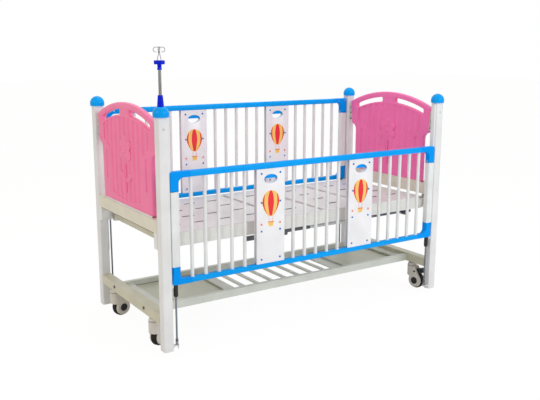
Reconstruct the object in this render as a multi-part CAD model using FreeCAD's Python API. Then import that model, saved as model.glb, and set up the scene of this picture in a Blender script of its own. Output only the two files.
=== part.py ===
import FreeCAD, Part
import math
import os

# Children's hospital cot.  X runs along the cot with the head end at -X, Y runs across it with the
# lowered side rail at -Y, and Z is up.  The origin is on the floor under the middle of the cot.
# All sizes are in millimetres.

# ---------------------------------------------------------------------------------------------
# Driving dimensions
# ---------------------------------------------------------------------------------------------
# Deck, from which the cot's length and width follow
DECK_TOP_Z = 595.0
DECK_HALF_WIDTH = 348.0
DECK_HALF_LENGTH = 840.0
DECK_END_GAP = 11.0          # deck to the posts, along the cot
DECK_SIDE_GAP = 27.0         # deck to the posts, across the cot

# Corner posts and their caps
POST_SIZE = 50.0             # square section
POST_WALL = 3.0
POST_CORNER_R = 6.0
POST_BOTTOM_Z = 33.0
POST_TOP_Z = 1152.0
CAP_R = 38.0
CAP_SKIRT = 14.0
CAP_PLUG_LENGTH = 18.0
CAP_PLUG_GAP = 0.2           # plug to the post's inner wall

# Guide rib on each post, on which a side rail runs
RIB_WIDTH = 14.0
RIB_DEPTH = 10.0
RIB_BOTTOM_Z = 345.0
RIB_TOP_GAP = 7.0            # below the post's top
RIB_CLEARANCE = 0.5

# Upper and lower end beams
UPPER_BEAM_WIDTH = 50.0
UPPER_BEAM_HEIGHT = 62.0
UPPER_BEAM_TOP_Z = 670.0
UPPER_BEAM_WALL = 3.0
BOARD_LIP_THICKNESS = 3.0    # lips that hold the lower edge of a board
BOARD_LIP_HEIGHT = 8.0
BOARD_LIP_GAP = 0.2
LOWER_BEAM_SIZE = 50.0
LOWER_BEAM_BOTTOM_Z = 163.0
LOWER_BEAM_WALL = 3.0

# Head and foot boards
BOARD_THICKNESS = 28.0
BOARD_POST_GAP = 4.0         # between a board's shoulders and the posts
BOARD_TAPER = 16.0           # each upper side leans in by this much, down to the scallop
BOARD_LOWER_HALF_WIDTH = 310.0
BOARD_SHOULDER_Z = 1118.0
BOARD_PEAK_Z = 1195.0
BOARD_NOTCH_Z = 932.0        # where the scalloped sides begin
BOARD_FOOT_R = 14.0
SLOT_DEPTH_BELOW_TOP = 47.0  # handle slot's centre line below the arched edge
SLOT_HEIGHT = 29.0
SLOT_INNER_Y = 58.0
SLOT_OUTER_Y = 301.0
SLOT_CORNER_R = 9.0
FIELD_DEPTH = 4.0            # recessed field on both faces
FIELD_BELOW_SLOT = 10.0
FIELD_UPPER_HALF_WIDTH = 282.0
FIELD_LOWER_HALF_WIDTH = 203.0
FIELD_WAIST_Z = 968.0        # middle of the S-curve between the two widths
FIELD_WAIST_HEIGHT = 64.0
FIELD_BOTTOM_Z = 702.0       # lowest point of the curved lower edge
FIELD_BOTTOM_RISE = 24.0
RIDGE_PITCH = 56.4           # upright ridges in the field, with a hollow on its middle
RIDGE_WIDTH = 29.0
RIDGE_HEIGHT = 2.2
FLOWER_Z = 960.0             # raised flower on the field: its middle, petals, stem and leaves
FLOWER_HEIGHT = 3.2          # above the field's floor
FLOWER_CORE_R = 19.0
PETAL_COUNT = 6
PETAL_REACH = 45.0           # middle of a petal, from the flower's middle
PETAL_HALF_LENGTH = 30.0
PETAL_HALF_WIDTH = 23.5
STEM_WIDTH = 10.0
STEM_FOOT_Z = 742.0
LEAF_Z = 822.0
LEAF_REACH = 41.0            # middle of a leaf, from the stem's middle
LEAF_HALF_LENGTH = 42.0
LEAF_HALF_WIDTH = 16.5
LEAF_SLOPE = 30.0
SIDE_GROOVE_Y = 250.0        # grooves beside the field's lower part, each with a round pocket at its top
SIDE_GROOVE_WIDTH = 14.0
SIDE_GROOVE_Z = (785.0, 942.0)
SIDE_POCKET_R = 10.0
BOARD_BOLT_R = 6.0
BOARD_BOLT_PITCH = 38.0
BOARD_BOLT_COUNT = 3
BOARD_BOLT_ABOVE_NOTCH = 23.5

# Side rails
RAIL_END_GAP = 3.0           # rail end to post
RAIL_DEPTH = 34.0
RAIL_HEIGHT = 543.0
RAIL_LOW_Z = 359.0           # underside of a lowered rail
RAIL_TRAVEL = 232.0
TOP_TUBE_HEIGHT = 30.0
TOP_TUBE_R = 11.0            # rounding of the upper edges
BOTTOM_TUBE_HEIGHT = 26.0
TUBE_R = 6.5                 # rounding of the other edges
TUBE_WALL = 2.0
CORNER_WIDTH = 42.0          # upright arm of a corner moulding
CORNER_LENGTH = 105.0        # lying arm, from the rail's end
TOP_CORNER_HEIGHT = 96.0
BOTTOM_CORNER_HEIGHT = 91.0
CORNER_INNER_R = 26.0
CORNER_OUTER_R = 10.0
CORNER_PROUD = 0.6           # moulding stands this far proud of the tubes
BAR_D = 18.0
BAR_COUNT_EACH_SIDE = 10
BAR_COUNT_TO_PANEL = 4       # a panel takes the place of this bar and its neighbours
END_BAR_INSET = 111.0        # last bar from the rail's end
PANEL_WIDTH = 169.0
SHEET_THICKNESS = 4.0
PANEL_CAP_X = 56.0
PANEL_CAP_EDGE = 23.0        # first and last row from the panel's ends
PANEL_CAP_ROWS = 4
PANEL_CAP_R = 5.0
PANEL_CAP_HEIGHT = 2.2
HAND_HOLE_WIDTH = 80.0
HAND_HOLE_HEIGHT = 47.0
HAND_HOLE_BELOW_TUBE = 52.0
TRIGGER_WIDTH = 92.0
TRIGGER_HEIGHT = 33.0
TRIGGER_ABOVE_HOLE_CENTRE = 3.0
TRIGGER_GAP = 0.3            # trigger to each sheet
TRIGGER_R = 10.0

# Gas springs between the rails and the posts
CYLINDER_R = 11.0
CYLINDER_BORE_R = 9.0
CYLINDER_BELOW_RAIL = 61.0
CYLINDER_LENGTH = 385.0
CYLINDER_CAP = 15.0
CYLINDER_SEAT_GAP = 0.2
ROD_R = 4.0
RUNNING_GAP = 0.05
PISTON_LENGTH = 20.0
ROD_TOP_Z = 650.0
ROD_FOOT_Z = (44.0, 72.0)
ROD_FOOT_WIDTH = 22.0

# Deck frame and deck sections
SHEET_STEEL = 2.0
SIDE_TUBE_WIDTH = 30.0
SIDE_TUBE_INSET = 2.0        # side tube behind the sections' edge
SIDE_TUBE_BOTTOM_Z = 525.0
SIDE_TUBE_WALL = 2.5
SIDE_TUBE_END_INSET = 4.0
CROSS_TUBE_WIDTH = 30.0
CROSS_TUBE_Z = (540.0, 574.0)
CROSS_TUBE_WALL = 2.5
SECTION_GAP = 30.0
BACK_GAP_X = -159.0          # middle of the gap behind the seat section
THIGH_GAP_X = 112.0
CALF_GAP_X = 432.0
SECTION_REST_GAP = 0.3
VENT_LENGTH = 70.0
VENT_WIDTH = 10.0
VENT_PITCH_X = 151.0
VENT_PITCH_Y = 139.0
VENT_ROWS = 4
LUG_HEIGHT = 50.0            # deck lugs that sit in the post brackets
BRACKET_SIZE = (60.0, 35.0)  # along X and Y
BRACKET_BOTTOM_Z = 531.0
BRACKET_WALL = 4.0
BRACKET_OVERHANG = 10.0      # past the post, towards the deck's middle
LUG_POST_GAP = 1.0

# Back section's pivot and its screw drive
PIVOT_Z = 578.0
TORQUE_BAR_R = 12.5
TORQUE_PIN_R = 8.0
TORQUE_PIN_LENGTH = 20.0
PIVOT_BOSS_HALF = 14.0
PIVOT_LUG_THICKNESS = 6.0
PIVOT_LUG_Y = (120.0, 260.0)
DRIVE_Y = -215.0
LEVER_LENGTH = 110.0
LEVER_LEAN = 35.0            # degrees from upright, towards the foot end, at rest
LEVER_THICKNESS = 8.0
LEVER_HALF_WIDTH = 9.0
LEVER_PIN_R = 5.0
LEVER_EYE_R = 11.0
FORK_GAP = 0.5
FORK_CHEEK = 5.0
FORK_SLOT_CLEARANCE = 2.2
FORK_LENGTH = 44.0
FORK_EDGE = 6.0              # round the slot
FORK_TUBE_GAP = 10.0
PUSH_TUBE_R = 12.0
PUSH_TUBE_BORE_R = 8.5
PUSH_TUBE_END_X = 350.0
NUT_LENGTH = 30.0
SPINDLE_R = 7.0
SPINDLE_START_X = 150.0
DRIVE_Z = 478.0
CRANK_BEARING_THICKNESS = 20.0
CRANK_BEARING_WIDTH = 50.0
CRANK_BEARING_BELOW_AXIS = 16.0
CRANK_ARM_INSET = 10.0       # crank arm from the middle of the foot posts
CRANK_ARM_THICKNESS = 8.0
CRANK_ARM_LENGTH = 95.0
CRANK_ARM_WIDTH = 20.0
KNUCKLE_R = 9.0              # the grip's hinge knuckle, as tall as it is wide
GRIP_R = 7.5
GRIP_LENGTH = 84.0
GRIP_PIN_R = 3.0
GRIP_ARM_GAP = 1.0
GRIP_EAR_THICKNESS = 3.0

# Storage shelf between the lower end beams
SHELF_RAIL_OUTER_Y = 225.0
SHELF_RAIL_WIDTH = 25.0
SHELF_RAIL_TOP_Z = 204.0
SHELF_RAIL_HEIGHT = 40.0
SHELF_RAIL_WALL = 2.5
SHELF_FLOOR_Z = 176.0
TRAY_INNER_X = 411.0
TRAY_SHEET = 2.0
TRAY_EDGE_HEIGHT = 11.0
PLATE_INNER_X = 338.0
PLATE_THICKNESS = 8.0
END_PLATE_LENGTH = 61.0
END_PLATE_RISE = 14.0
SLAT_WIDTH = 20.0
SLAT_THICKNESS = 10.0
SLAT_PITCH = 93.0
SLATS_EACH_SIDE = 3

# Castors
STEM_INSET = 145.0           # stem from the middle of the post, across the cot
WHEEL_R = 50.0
WHEEL_WIDTH = 33.0
WHEEL_SHOULDER = 5.0
TYRE_DEPTH = 13.0
CASTOR_TRAIL = 36.0
STEM_R = 6.0
STEM_LENGTH = 28.0
CUP_R = 24.0
CUP_HEIGHT = 20.0
WASHER_R = 20.0
WASHER_HEIGHT = 3.0
SWIVEL_GAP = 0.3
HOUSING_HALF_WIDTH = 28.0
HOUSING_NOSE_R = 28.0
COVER_R = 43.0
HOUSING_FRONT_BOTTOM_Z = 74.0
HOUSING_BACK_X = 24.0
WHEEL_SIDE_GAP = 1.5
WHEEL_TOP_GAP = 3.0
AXLE_R = 6.0
HUB_CAP_R = 21.0
HUB_CAP_HEIGHT = 3.5
PEDAL_PIVOT = (40.0, 112.0)  # along the trail, and above the floor
PEDAL_HALF_WIDTH = 17.0
PEDAL_SIDE_GAP = 0.6
PEDAL_PIN_R = 3.0
PEDAL_PIN_REACH = 6.0
PEDAL_PIN_END_GAP = 1.0
PEDAL_SPACE_AHEAD = 12.0     # housing is open this far ahead of the pedal's pivot
PEDAL_OUTLINE = (            # side view, from the pivot
    (-7.0, 2.0), (8.0, 13.0), (34.0, 20.0), (58.0, 15.0), (66.0, 5.0),
    (62.0, -3.0), (40.0, -7.0), (20.0, -11.5), (6.0, -8.5), (-5.0, -6.0),
)
CASTOR_HEADINGS = {          # direction in which each castor trails, in degrees from +X
    "head_front": 28.5,
    "head_back": 11.5,
    "foot_front": -78.5,
    "foot_back": 100.0,
}

# Infusion pole on the front post at the head end
POLE_R = 7.0
POLE_TOP_Z = 1362.0
POLE_LENGTH = 750.0
POLE_CAP_GAP = 1.0
COLLAR_SEAT_BELOW_DOME = 5.0
COLLAR_BOTTOM_R = 15.5
COLLAR_TOP_R = 11.5
COLLAR_HEIGHT = 52.0
COLLAR_FLUTES = 8
COLLAR_FLUTE_R = 2.2
HEAD_STEM_R = 9.5
HEAD_STEM_HEIGHT = 24.0
HEAD_DISC_R = 24.5
HEAD_DISC_HEIGHT = 18.0
HEAD_DISC_BEVEL = 2.0
HEAD_SOCKET = 12.0           # how far the pole enters the head
WIRE_R = 1.8
WIRE_SIDES = 8               # the hooks' wire is rolled with flats
WIRE_FOOT_X = 7.5            # the two legs start this far from the axis
KNOT_R = 4.5
KNOT_RISE = 32.0             # above the head
KNOT_HEIGHT = 7.0
HOOK_POST_HEIGHT = 28.0
HOOK_RISE = 25.0             # arm leaves the upright this far above the knot
HOOK_REACH = 26.0
HOOK_R = 10.5
HOOK_COUNT = 4
HOOK_HEADING = -33.0

# ---------------------------------------------------------------------------------------------
# Places worked out from the driving dimensions
# ---------------------------------------------------------------------------------------------
POST_X = DECK_HALF_LENGTH + DECK_END_GAP + POST_SIZE / 2
POST_Y = DECK_HALF_WIDTH + DECK_SIDE_GAP + POST_SIZE / 2
POST_INNER_X = POST_X - POST_SIZE / 2
POST_INNER_Y = POST_Y - POST_SIZE / 2
POST_OUTER_Y = POST_Y + POST_SIZE / 2
CAP_TOP_Z = POST_TOP_Z + CAP_SKIRT + CAP_R

UPPER_BEAM_BOTTOM_Z = UPPER_BEAM_TOP_Z - UPPER_BEAM_HEIGHT
LOWER_BEAM_TOP_Z = LOWER_BEAM_BOTTOM_Z + LOWER_BEAM_SIZE
LOWER_BEAM_INNER_X = POST_X - LOWER_BEAM_SIZE / 2

BOARD_HALF_WIDTH = POST_INNER_Y - BOARD_POST_GAP
BOARD_WAIST_HALF_WIDTH = BOARD_HALF_WIDTH - BOARD_TAPER
BOARD_NOTCH_R = BOARD_WAIST_HALF_WIDTH - BOARD_LOWER_HALF_WIDTH
BOARD_RISE = BOARD_PEAK_Z - BOARD_SHOULDER_Z
BOARD_ARCH_R = (BOARD_HALF_WIDTH ** 2 + BOARD_RISE ** 2) / (2 * BOARD_RISE)
BOARD_ARCH_CENTRE_Z = BOARD_PEAK_Z - BOARD_ARCH_R
SLOT_CENTRE_R = BOARD_ARCH_R - SLOT_DEPTH_BELOW_TOP

RAIL_END_X = POST_INNER_X - RAIL_END_GAP
RAIL_Y = POST_OUTER_Y - RAIL_DEPTH / 2
GROOVE_DEPTH = RIB_DEPTH + RIB_CLEARANCE - RAIL_END_GAP
GROOVE_WIDTH = RIB_WIDTH + 2 * RIB_CLEARANCE
RAIL_TOP_Z = RAIL_LOW_Z + RAIL_HEIGHT
BAR_BOTTOM_Z = RAIL_LOW_Z + BOTTOM_TUBE_HEIGHT
BAR_TOP_Z = RAIL_TOP_Z - TOP_TUBE_HEIGHT
BAR_PITCH = (RAIL_END_X - END_BAR_INSET) / BAR_COUNT_EACH_SIDE
PANEL_X = BAR_COUNT_TO_PANEL * BAR_PITCH
HAND_HOLE_Z = BAR_TOP_Z - HAND_HOLE_BELOW_TUBE
ROD_X = RAIL_END_X - GROOVE_DEPTH - (CYLINDER_R + CYLINDER_SEAT_GAP) - TUBE_WALL
CYLINDER_BOTTOM_Z = RAIL_LOW_Z - CYLINDER_BELOW_RAIL

SIDE_TUBE_OUTER_Y = DECK_HALF_WIDTH - SIDE_TUBE_INSET
SIDE_TUBE_INNER_Y = SIDE_TUBE_OUTER_Y - SIDE_TUBE_WIDTH
SIDE_TUBE_TOP_Z = DECK_TOP_Z - SHEET_STEEL
SIDE_TUBE_END_X = DECK_HALF_LENGTH - SIDE_TUBE_END_INSET
CROSS_TUBE_TOP_Z = CROSS_TUBE_Z[1]
SECTION_FLANGE_Y = SIDE_TUBE_INNER_Y - SECTION_REST_GAP

LEVER_PIN_X = BACK_GAP_X + LEVER_LENGTH * math.sin(math.radians(LEVER_LEAN))
LEVER_PIN_Z = PIVOT_Z - LEVER_LENGTH * math.cos(math.radians(LEVER_LEAN))
LEVER_LOWEST_Z = PIVOT_Z - LEVER_LENGTH

CRANK_ARM_X = POST_X - CRANK_ARM_INSET
STEM_Y = POST_Y - STEM_INSET

SHELF_RAIL_INNER_Y = SHELF_RAIL_OUTER_Y - SHELF_RAIL_WIDTH
TRAY_OUTER_X = LOWER_BEAM_INNER_X - END_PLATE_LENGTH
STEM_BOTTOM_OF_CUP_Z = LOWER_BEAM_BOTTOM_Z - WASHER_HEIGHT - CUP_HEIGHT
HOUSING_TOP_Z = STEM_BOTTOM_OF_CUP_Z - SWIVEL_GAP
WHEEL_SLOT_HALF = WHEEL_WIDTH / 2 + WHEEL_SIDE_GAP

COLLAR_SEAT_Z = CAP_TOP_Z - COLLAR_SEAT_BELOW_DOME
HEAD_TOP_Z = POLE_TOP_Z + HEAD_STEM_HEIGHT + HEAD_DISC_HEIGHT
KNOT_Z = HEAD_TOP_Z + KNOT_RISE

CORNERS = {                  # name: sides along X and Y
    "head_front": (-1, -1),
    "head_back": (-1, 1),
    "foot_front": (1, -1),
    "foot_back": (1, 1),
}
X_AXIS = FreeCAD.Vector(1, 0, 0)
Y_AXIS = FreeCAD.Vector(0, 1, 0)
Z_AXIS = FreeCAD.Vector(0, 0, 1)
ORIGIN = FreeCAD.Vector(0, 0, 0)


# ---------------------------------------------------------------------------------------------
# Small helpers
# ---------------------------------------------------------------------------------------------
def vec(x, y, z):
    return FreeCAD.Vector(x, y, z)


def block(x_range, y_range, z_range):
    """Box between two values along each axis, in either order."""
    lows = [min(pair) for pair in (x_range, y_range, z_range)]
    sizes = [abs(pair[1] - pair[0]) for pair in (x_range, y_range, z_range)]
    return Part.makeBox(*sizes, vec(*lows))


def cylinder(radius, start, direction, length):
    return Part.makeCylinder(radius, length, start, direction)


def mirrored(shape, normal):
    return shape.mirror(ORIGIN, normal)


def fused(shapes):
    """Shapes joined into one solid, with leftover seams removed."""
    first = shapes[0]
    return first.fuse(shapes[1:]).removeSplitter() if len(shapes) > 1 else first


def hollow_bar(x_range, y_range, z_range, wall, along):
    """Rectangular tube that is open at both ends along one axis, named x or y."""
    outer = block(x_range, y_range, z_range)
    inner_x = x_range if along == "x" else (min(x_range) + wall, max(x_range) - wall)
    inner_y = y_range if along == "y" else (min(y_range) + wall, max(y_range) - wall)
    inner_z = (min(z_range) + wall, max(z_range) - wall)
    return outer.cut(block(inner_x, inner_y, inner_z))


def upright_edges(shape, x=None):
    """Edges parallel to Z, all of them or those at one X."""
    found = []
    for edge in shape.Edges:
        box = edge.BoundBox
        if box.ZLength < 1e-6 or box.XLength > 1e-6 or box.YLength > 1e-6:
            continue
        if x is not None and abs(box.XMin - x) > 1e-6:
            continue
        found.append(edge)
    return found


def long_edges(shape, axis, places):
    """Edges parallel to X or Y whose other two coordinates are listed in places."""
    found = []
    for edge in shape.Edges:
        box = edge.BoundBox
        spans = (box.XLength, box.YLength, box.ZLength)
        if spans[axis] < 1e-6 or sum(spans) - spans[axis] > 1e-6:
            continue
        lows = (box.XMin, box.YMin, box.ZMin)
        here = [value for number, value in enumerate(lows) if number != axis]
        if any(abs(here[0] - a) < 1e-6 and abs(here[1] - b) < 1e-6 for a, b in places):
            found.append(edge)
    return found


def extrude_side_profile(points_and_arcs, y_range):
    """Solid with a closed outline in the XZ plane, between two values of Y.

    Each item of the outline is a point, or a pair of a middle and an end point for an arc.
    """
    return extrude_outline(points_and_arcs, lambda a, b: vec(a, min(y_range), b),
                           vec(0, abs(y_range[1] - y_range[0]), 0))


def extrude_end_profile(points_and_arcs, x_range):
    """Solid with a closed outline in the YZ plane, between two values of X."""
    return extrude_outline(points_and_arcs, lambda a, b: vec(min(x_range), a, b),
                           vec(abs(x_range[1] - x_range[0]), 0, 0))


def extrude_outline(items, place, direction):
    """Solid with a closed outline, to which a line back to the start is added where it needs one."""
    edges = []
    here = items[0]
    for item in items[1:] + [items[0]]:
        end = item_end(item)
        if end is not item:
            edges.append(Part.Arc(place(*here), place(*item[0]), place(*end)).toShape())
        elif end != here:
            edges.append(Part.makeLine(place(*here), place(*end)))
        here = end
    return Part.Face(Part.Wire(edges)).extrude(direction)


def item_end(item):
    """Where an outline's item ends: the point itself, or an arc's second point."""
    return item[1] if isinstance(item[0], tuple) else item


# ---------------------------------------------------------------------------------------------
# Posts, caps and end beams
# ---------------------------------------------------------------------------------------------
def make_post(side_x, side_y):
    """Hollow post with a closed foot and the guide rib of its side rail."""
    half = POST_SIZE / 2
    post = block((-half, half), (-half, half), (POST_BOTTOM_Z, POST_TOP_Z))
    post = post.makeFillet(POST_CORNER_R, upright_edges(post))
    hole = half - POST_WALL
    post = post.cut(block((-hole, hole), (-hole, hole), (POST_BOTTOM_Z + POST_WALL, POST_TOP_Z)))
    inner = -side_x * half
    rib_y = side_y * (RAIL_Y - POST_Y)
    rib = block((inner, inner - side_x * RIB_DEPTH),
                (rib_y - RIB_WIDTH / 2, rib_y + RIB_WIDTH / 2),
                (RIB_BOTTOM_Z, POST_TOP_Z - RIB_TOP_GAP))
    post = fused([post, rib])
    post.translate(vec(side_x * POST_X, side_y * POST_Y, 0))
    return post


def make_post_cap(side_x, side_y):
    """Domed cap with a square plug; the one under the infusion pole is bored and flattened."""
    base = vec(0, 0, POST_TOP_Z)
    skirt = cylinder(CAP_R, base, Z_AXIS, CAP_SKIRT)
    dome = Part.makeSphere(CAP_R, vec(0, 0, POST_TOP_Z + CAP_SKIRT), Z_AXIS, 0, 90, 360)
    half = POST_SIZE / 2 - POST_WALL - CAP_PLUG_GAP
    plug = block((-half, half), (-half, half), (POST_TOP_Z - CAP_PLUG_LENGTH, POST_TOP_Z))
    cap = fused([skirt, dome, plug])
    if (side_x, side_y) == CORNERS["head_front"]:
        cap = cap.cut(block((-CAP_R, CAP_R), (-CAP_R, CAP_R), (COLLAR_SEAT_Z, CAP_TOP_Z + 1)))
        bore_bottom = POST_TOP_Z - CAP_PLUG_LENGTH - 1
        cap = cap.cut(cylinder(POLE_R + POLE_CAP_GAP, vec(0, 0, bore_bottom), Z_AXIS,
                               CAP_TOP_Z + 1 - bore_bottom))
    cap.translate(vec(side_x * POST_X, side_y * POST_Y, 0))
    return cap


def make_upper_beam(side_x):
    """Tube between two posts, with two lips that hold the lower edge of the board."""
    half = UPPER_BEAM_WIDTH / 2
    centre = side_x * POST_X
    beam = hollow_bar((centre - half, centre + half), (-POST_INNER_Y, POST_INNER_Y),
                      (UPPER_BEAM_BOTTOM_Z, UPPER_BEAM_TOP_Z), UPPER_BEAM_WALL, "y")
    lips = []
    near = BOARD_THICKNESS / 2 + BOARD_LIP_GAP
    for side in (-1, 1):
        lips.append(block((centre + side * near, centre + side * (near + BOARD_LIP_THICKNESS)),
                          (-BOARD_LOWER_HALF_WIDTH, BOARD_LOWER_HALF_WIDTH),
                          (UPPER_BEAM_TOP_Z, UPPER_BEAM_TOP_Z + BOARD_LIP_HEIGHT)))
    return fused([beam] + lips)


def make_lower_beam(side_x):
    """Tube between two posts that carries two castors and one end of the shelf."""
    half = LOWER_BEAM_SIZE / 2
    centre = side_x * POST_X
    return hollow_bar((centre - half, centre + half), (-POST_INNER_Y, POST_INNER_Y),
                      (LOWER_BEAM_BOTTOM_Z, LOWER_BEAM_TOP_Z), LOWER_BEAM_WALL, "y")


# ---------------------------------------------------------------------------------------------
# Head and foot boards
# ---------------------------------------------------------------------------------------------
def arch_point(radius, y):
    """Point at one Y on a circle about the centre of the board's arch."""
    return (y, BOARD_ARCH_CENTRE_Z + math.sqrt(radius ** 2 - y ** 2))


def board_blank():
    """Board with straight lower sides, scalloped waist, leaning upper sides and arched top."""
    low, waist, high = BOARD_LOWER_HALF_WIDTH, BOARD_WAIST_HALF_WIDTH, BOARD_HALF_WIDTH
    bend = BOARD_NOTCH_R * math.sqrt(0.5)
    bottom = UPPER_BEAM_TOP_Z
    outline = [
        (-low, bottom),
        (low, bottom),
        (low, BOARD_NOTCH_Z),
        ((waist - bend, BOARD_NOTCH_Z + bend), (waist, BOARD_NOTCH_Z + BOARD_NOTCH_R)),
        (high, BOARD_SHOULDER_Z),
        ((0.0, BOARD_PEAK_Z), (-high, BOARD_SHOULDER_Z)),
        (-waist, BOARD_NOTCH_Z + BOARD_NOTCH_R),
        ((-waist + bend, BOARD_NOTCH_Z + bend), (-low, BOARD_NOTCH_Z)),
    ]
    half = BOARD_THICKNESS / 2
    board = extrude_end_profile(outline, (-half, half))
    places = [(side * low, bottom) for side in (-1, 1)]
    places += [(side * high, BOARD_SHOULDER_Z) for side in (-1, 1)]
    return board.makeFillet(BOARD_FOOT_R, long_edges(board, 0, places))


def handle_slot(side):
    """Curved hand hole that follows the arch, on one side of the middle."""
    near = SLOT_CENTRE_R - SLOT_HEIGHT / 2
    far = SLOT_CENTRE_R + SLOT_HEIGHT / 2
    first, last = SLOT_INNER_Y, SLOT_OUTER_Y
    middle = (first + last) / 2
    outline = [
        arch_point(near, first),
        (arch_point(near, middle), arch_point(near, last)),
        arch_point(far, last),
        (arch_point(far, middle), arch_point(far, first)),
    ]
    if side < 0:
        outline = [flip(item) for item in outline]
    slot = extrude_end_profile(outline, (-BOARD_THICKNESS, BOARD_THICKNESS))
    corners = [edge for edge in slot.Edges if edge.BoundBox.XLength > BOARD_THICKNESS]
    return slot.makeFillet(SLOT_CORNER_R, corners)


def flip(item):
    """An outline item with its first coordinate reversed."""
    if isinstance(item[0], tuple):
        return tuple((-a, b) for a, b in item)
    return (-item[0], item[1])


def field_outline():
    """Recessed field: arched top, S-curved sides and a lower edge that hangs in an arc."""
    top_r = SLOT_CENTRE_R - SLOT_HEIGHT / 2 - FIELD_BELOW_SLOT
    wide, slim = FIELD_UPPER_HALF_WIDTH, FIELD_LOWER_HALF_WIDTH
    step = (wide - slim) / 2
    rise = FIELD_WAIST_HEIGHT / 2
    upper, lower = FIELD_WAIST_Z + rise, FIELD_WAIST_Z - rise
    side_bottom = FIELD_BOTTOM_Z + FIELD_BOTTOM_RISE
    bulge = 0.3
    start = (slim, side_bottom)
    right = [
        start,
        (slim, lower),
        ((slim + step * bulge, lower + rise * (1 - bulge)), (slim + step, FIELD_WAIST_Z)),
        ((wide - step * bulge, upper - rise * (1 - bulge)), (wide, upper)),
        arch_point(top_r, wide),
    ]
    left = [
        (arch_point(top_r, 0.0), arch_point(top_r, -wide)),
        (-wide, upper),
        ((-wide + step * bulge, upper - rise * (1 - bulge)), (-slim - step, FIELD_WAIST_Z)),
        ((-slim - step * bulge, lower + rise * (1 - bulge)), (-slim, lower)),
        (-slim, side_bottom),
    ]
    return right + left + [((0.0, FIELD_BOTTOM_Z), start)]


def side_groove(side, depth_range):
    """Round-ended upright groove beside the field, with a round pocket at its top."""
    centre = side * SIDE_GROOVE_Y
    half = SIDE_GROOVE_WIDTH / 2
    start, depth = min(depth_range), abs(depth_range[1] - depth_range[0])
    low, high = SIDE_GROOVE_Z
    groove = block(depth_range, (centre - half, centre + half), (low + half, high - SIDE_POCKET_R))
    foot = cylinder(half, vec(start, centre, low + half), X_AXIS, depth)
    pocket = cylinder(SIDE_POCKET_R, vec(start, centre, high - SIDE_POCKET_R), X_AXIS, depth)
    return fused([groove, foot, pocket])


def ellipse_prism(centre, half_long, half_short, slope, depth_range):
    """Elliptical pad that stands up along X, with its long axis at a slope to Y."""
    middle = vec(min(depth_range), *centre)
    turn = math.radians(slope)
    long_axis = vec(0, math.cos(turn), math.sin(turn))
    short_axis = vec(0, -math.sin(turn), math.cos(turn))
    edge = Part.Ellipse(middle + long_axis * half_long, middle + short_axis * half_short, middle).toShape()
    return Part.Face(Part.Wire(edge)).extrude(vec(abs(depth_range[1] - depth_range[0]), 0, 0))


def flower_pads(depth_range):
    """Petals, core, stem and leaves of the raised flower."""
    pads = []
    for number in range(PETAL_COUNT):
        slope = 90.0 + number * 360.0 / PETAL_COUNT
        turn = math.radians(slope)
        centre = (PETAL_REACH * math.cos(turn), FLOWER_Z + PETAL_REACH * math.sin(turn))
        pads.append(ellipse_prism(centre, PETAL_HALF_LENGTH, PETAL_HALF_WIDTH, slope, depth_range))
    start, depth = min(depth_range), abs(depth_range[1] - depth_range[0])
    pads.append(cylinder(FLOWER_CORE_R, vec(start, 0, FLOWER_Z), X_AXIS, depth))
    pads.append(block(depth_range, (-STEM_WIDTH / 2, STEM_WIDTH / 2), (STEM_FOOT_Z, FLOWER_Z)))
    for side in (-1, 1):
        pads.append(ellipse_prism((side * LEAF_REACH, LEAF_Z), LEAF_HALF_LENGTH, LEAF_HALF_WIDTH,
                                  side * LEAF_SLOPE, depth_range))
    return pads


def make_board(side_x):
    """Moulded board with handle slots, side grooves and, on both faces, a ridged field with a flower."""
    board = board_blank()
    for side in (-1, 1):
        board = board.cut(handle_slot(side))
    outline = field_outline()
    half = BOARD_THICKNESS / 2
    for face in (-1, 1):
        floor = half - FIELD_DEPTH
        recess = extrude_end_profile(outline, (face * floor, face * (half + 1)))
        raised = []
        count = math.ceil(FIELD_UPPER_HALF_WIDTH / RIDGE_PITCH)
        for number in range(-count, count):
            middle = (number + 0.5) * RIDGE_PITCH
            raised.append(block((face * floor, face * (floor + RIDGE_HEIGHT)),
                                (middle - RIDGE_WIDTH / 2, middle + RIDGE_WIDTH / 2),
                                (FIELD_BOTTOM_Z, BOARD_PEAK_Z)))
        raised += flower_pads((face * floor, face * (floor + FLOWER_HEIGHT)))
        board = board.cut(recess.cut(fused(raised)))
        for side in (-1, 1):
            board = board.cut(side_groove(side, (face * (half - FIELD_DEPTH), face * (half + 1))))
    board.translate(vec(side_x * POST_X, 0, 0))
    return board


def make_board_bolts():
    """Three bolts on each side of each board, seen in the tapered gap between board and post."""
    bolts = []
    first = BOARD_NOTCH_Z + BOARD_NOTCH_R + BOARD_BOLT_ABOVE_NOTCH
    for side_x, side_y in CORNERS.values():
        blank = board_blank()
        blank.translate(vec(side_x * POST_X, 0, 0))
        for number in range(BOARD_BOLT_COUNT):
            height = first + number * BOARD_BOLT_PITCH
            start = vec(side_x * POST_X, side_y * BOARD_LOWER_HALF_WIDTH, height)
            bolt = cylinder(BOARD_BOLT_R, start, vec(0, side_y, 0), POST_INNER_Y - BOARD_LOWER_HALF_WIDTH)
            bolts.append(bolt.cut(blank))
    return bolts


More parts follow.
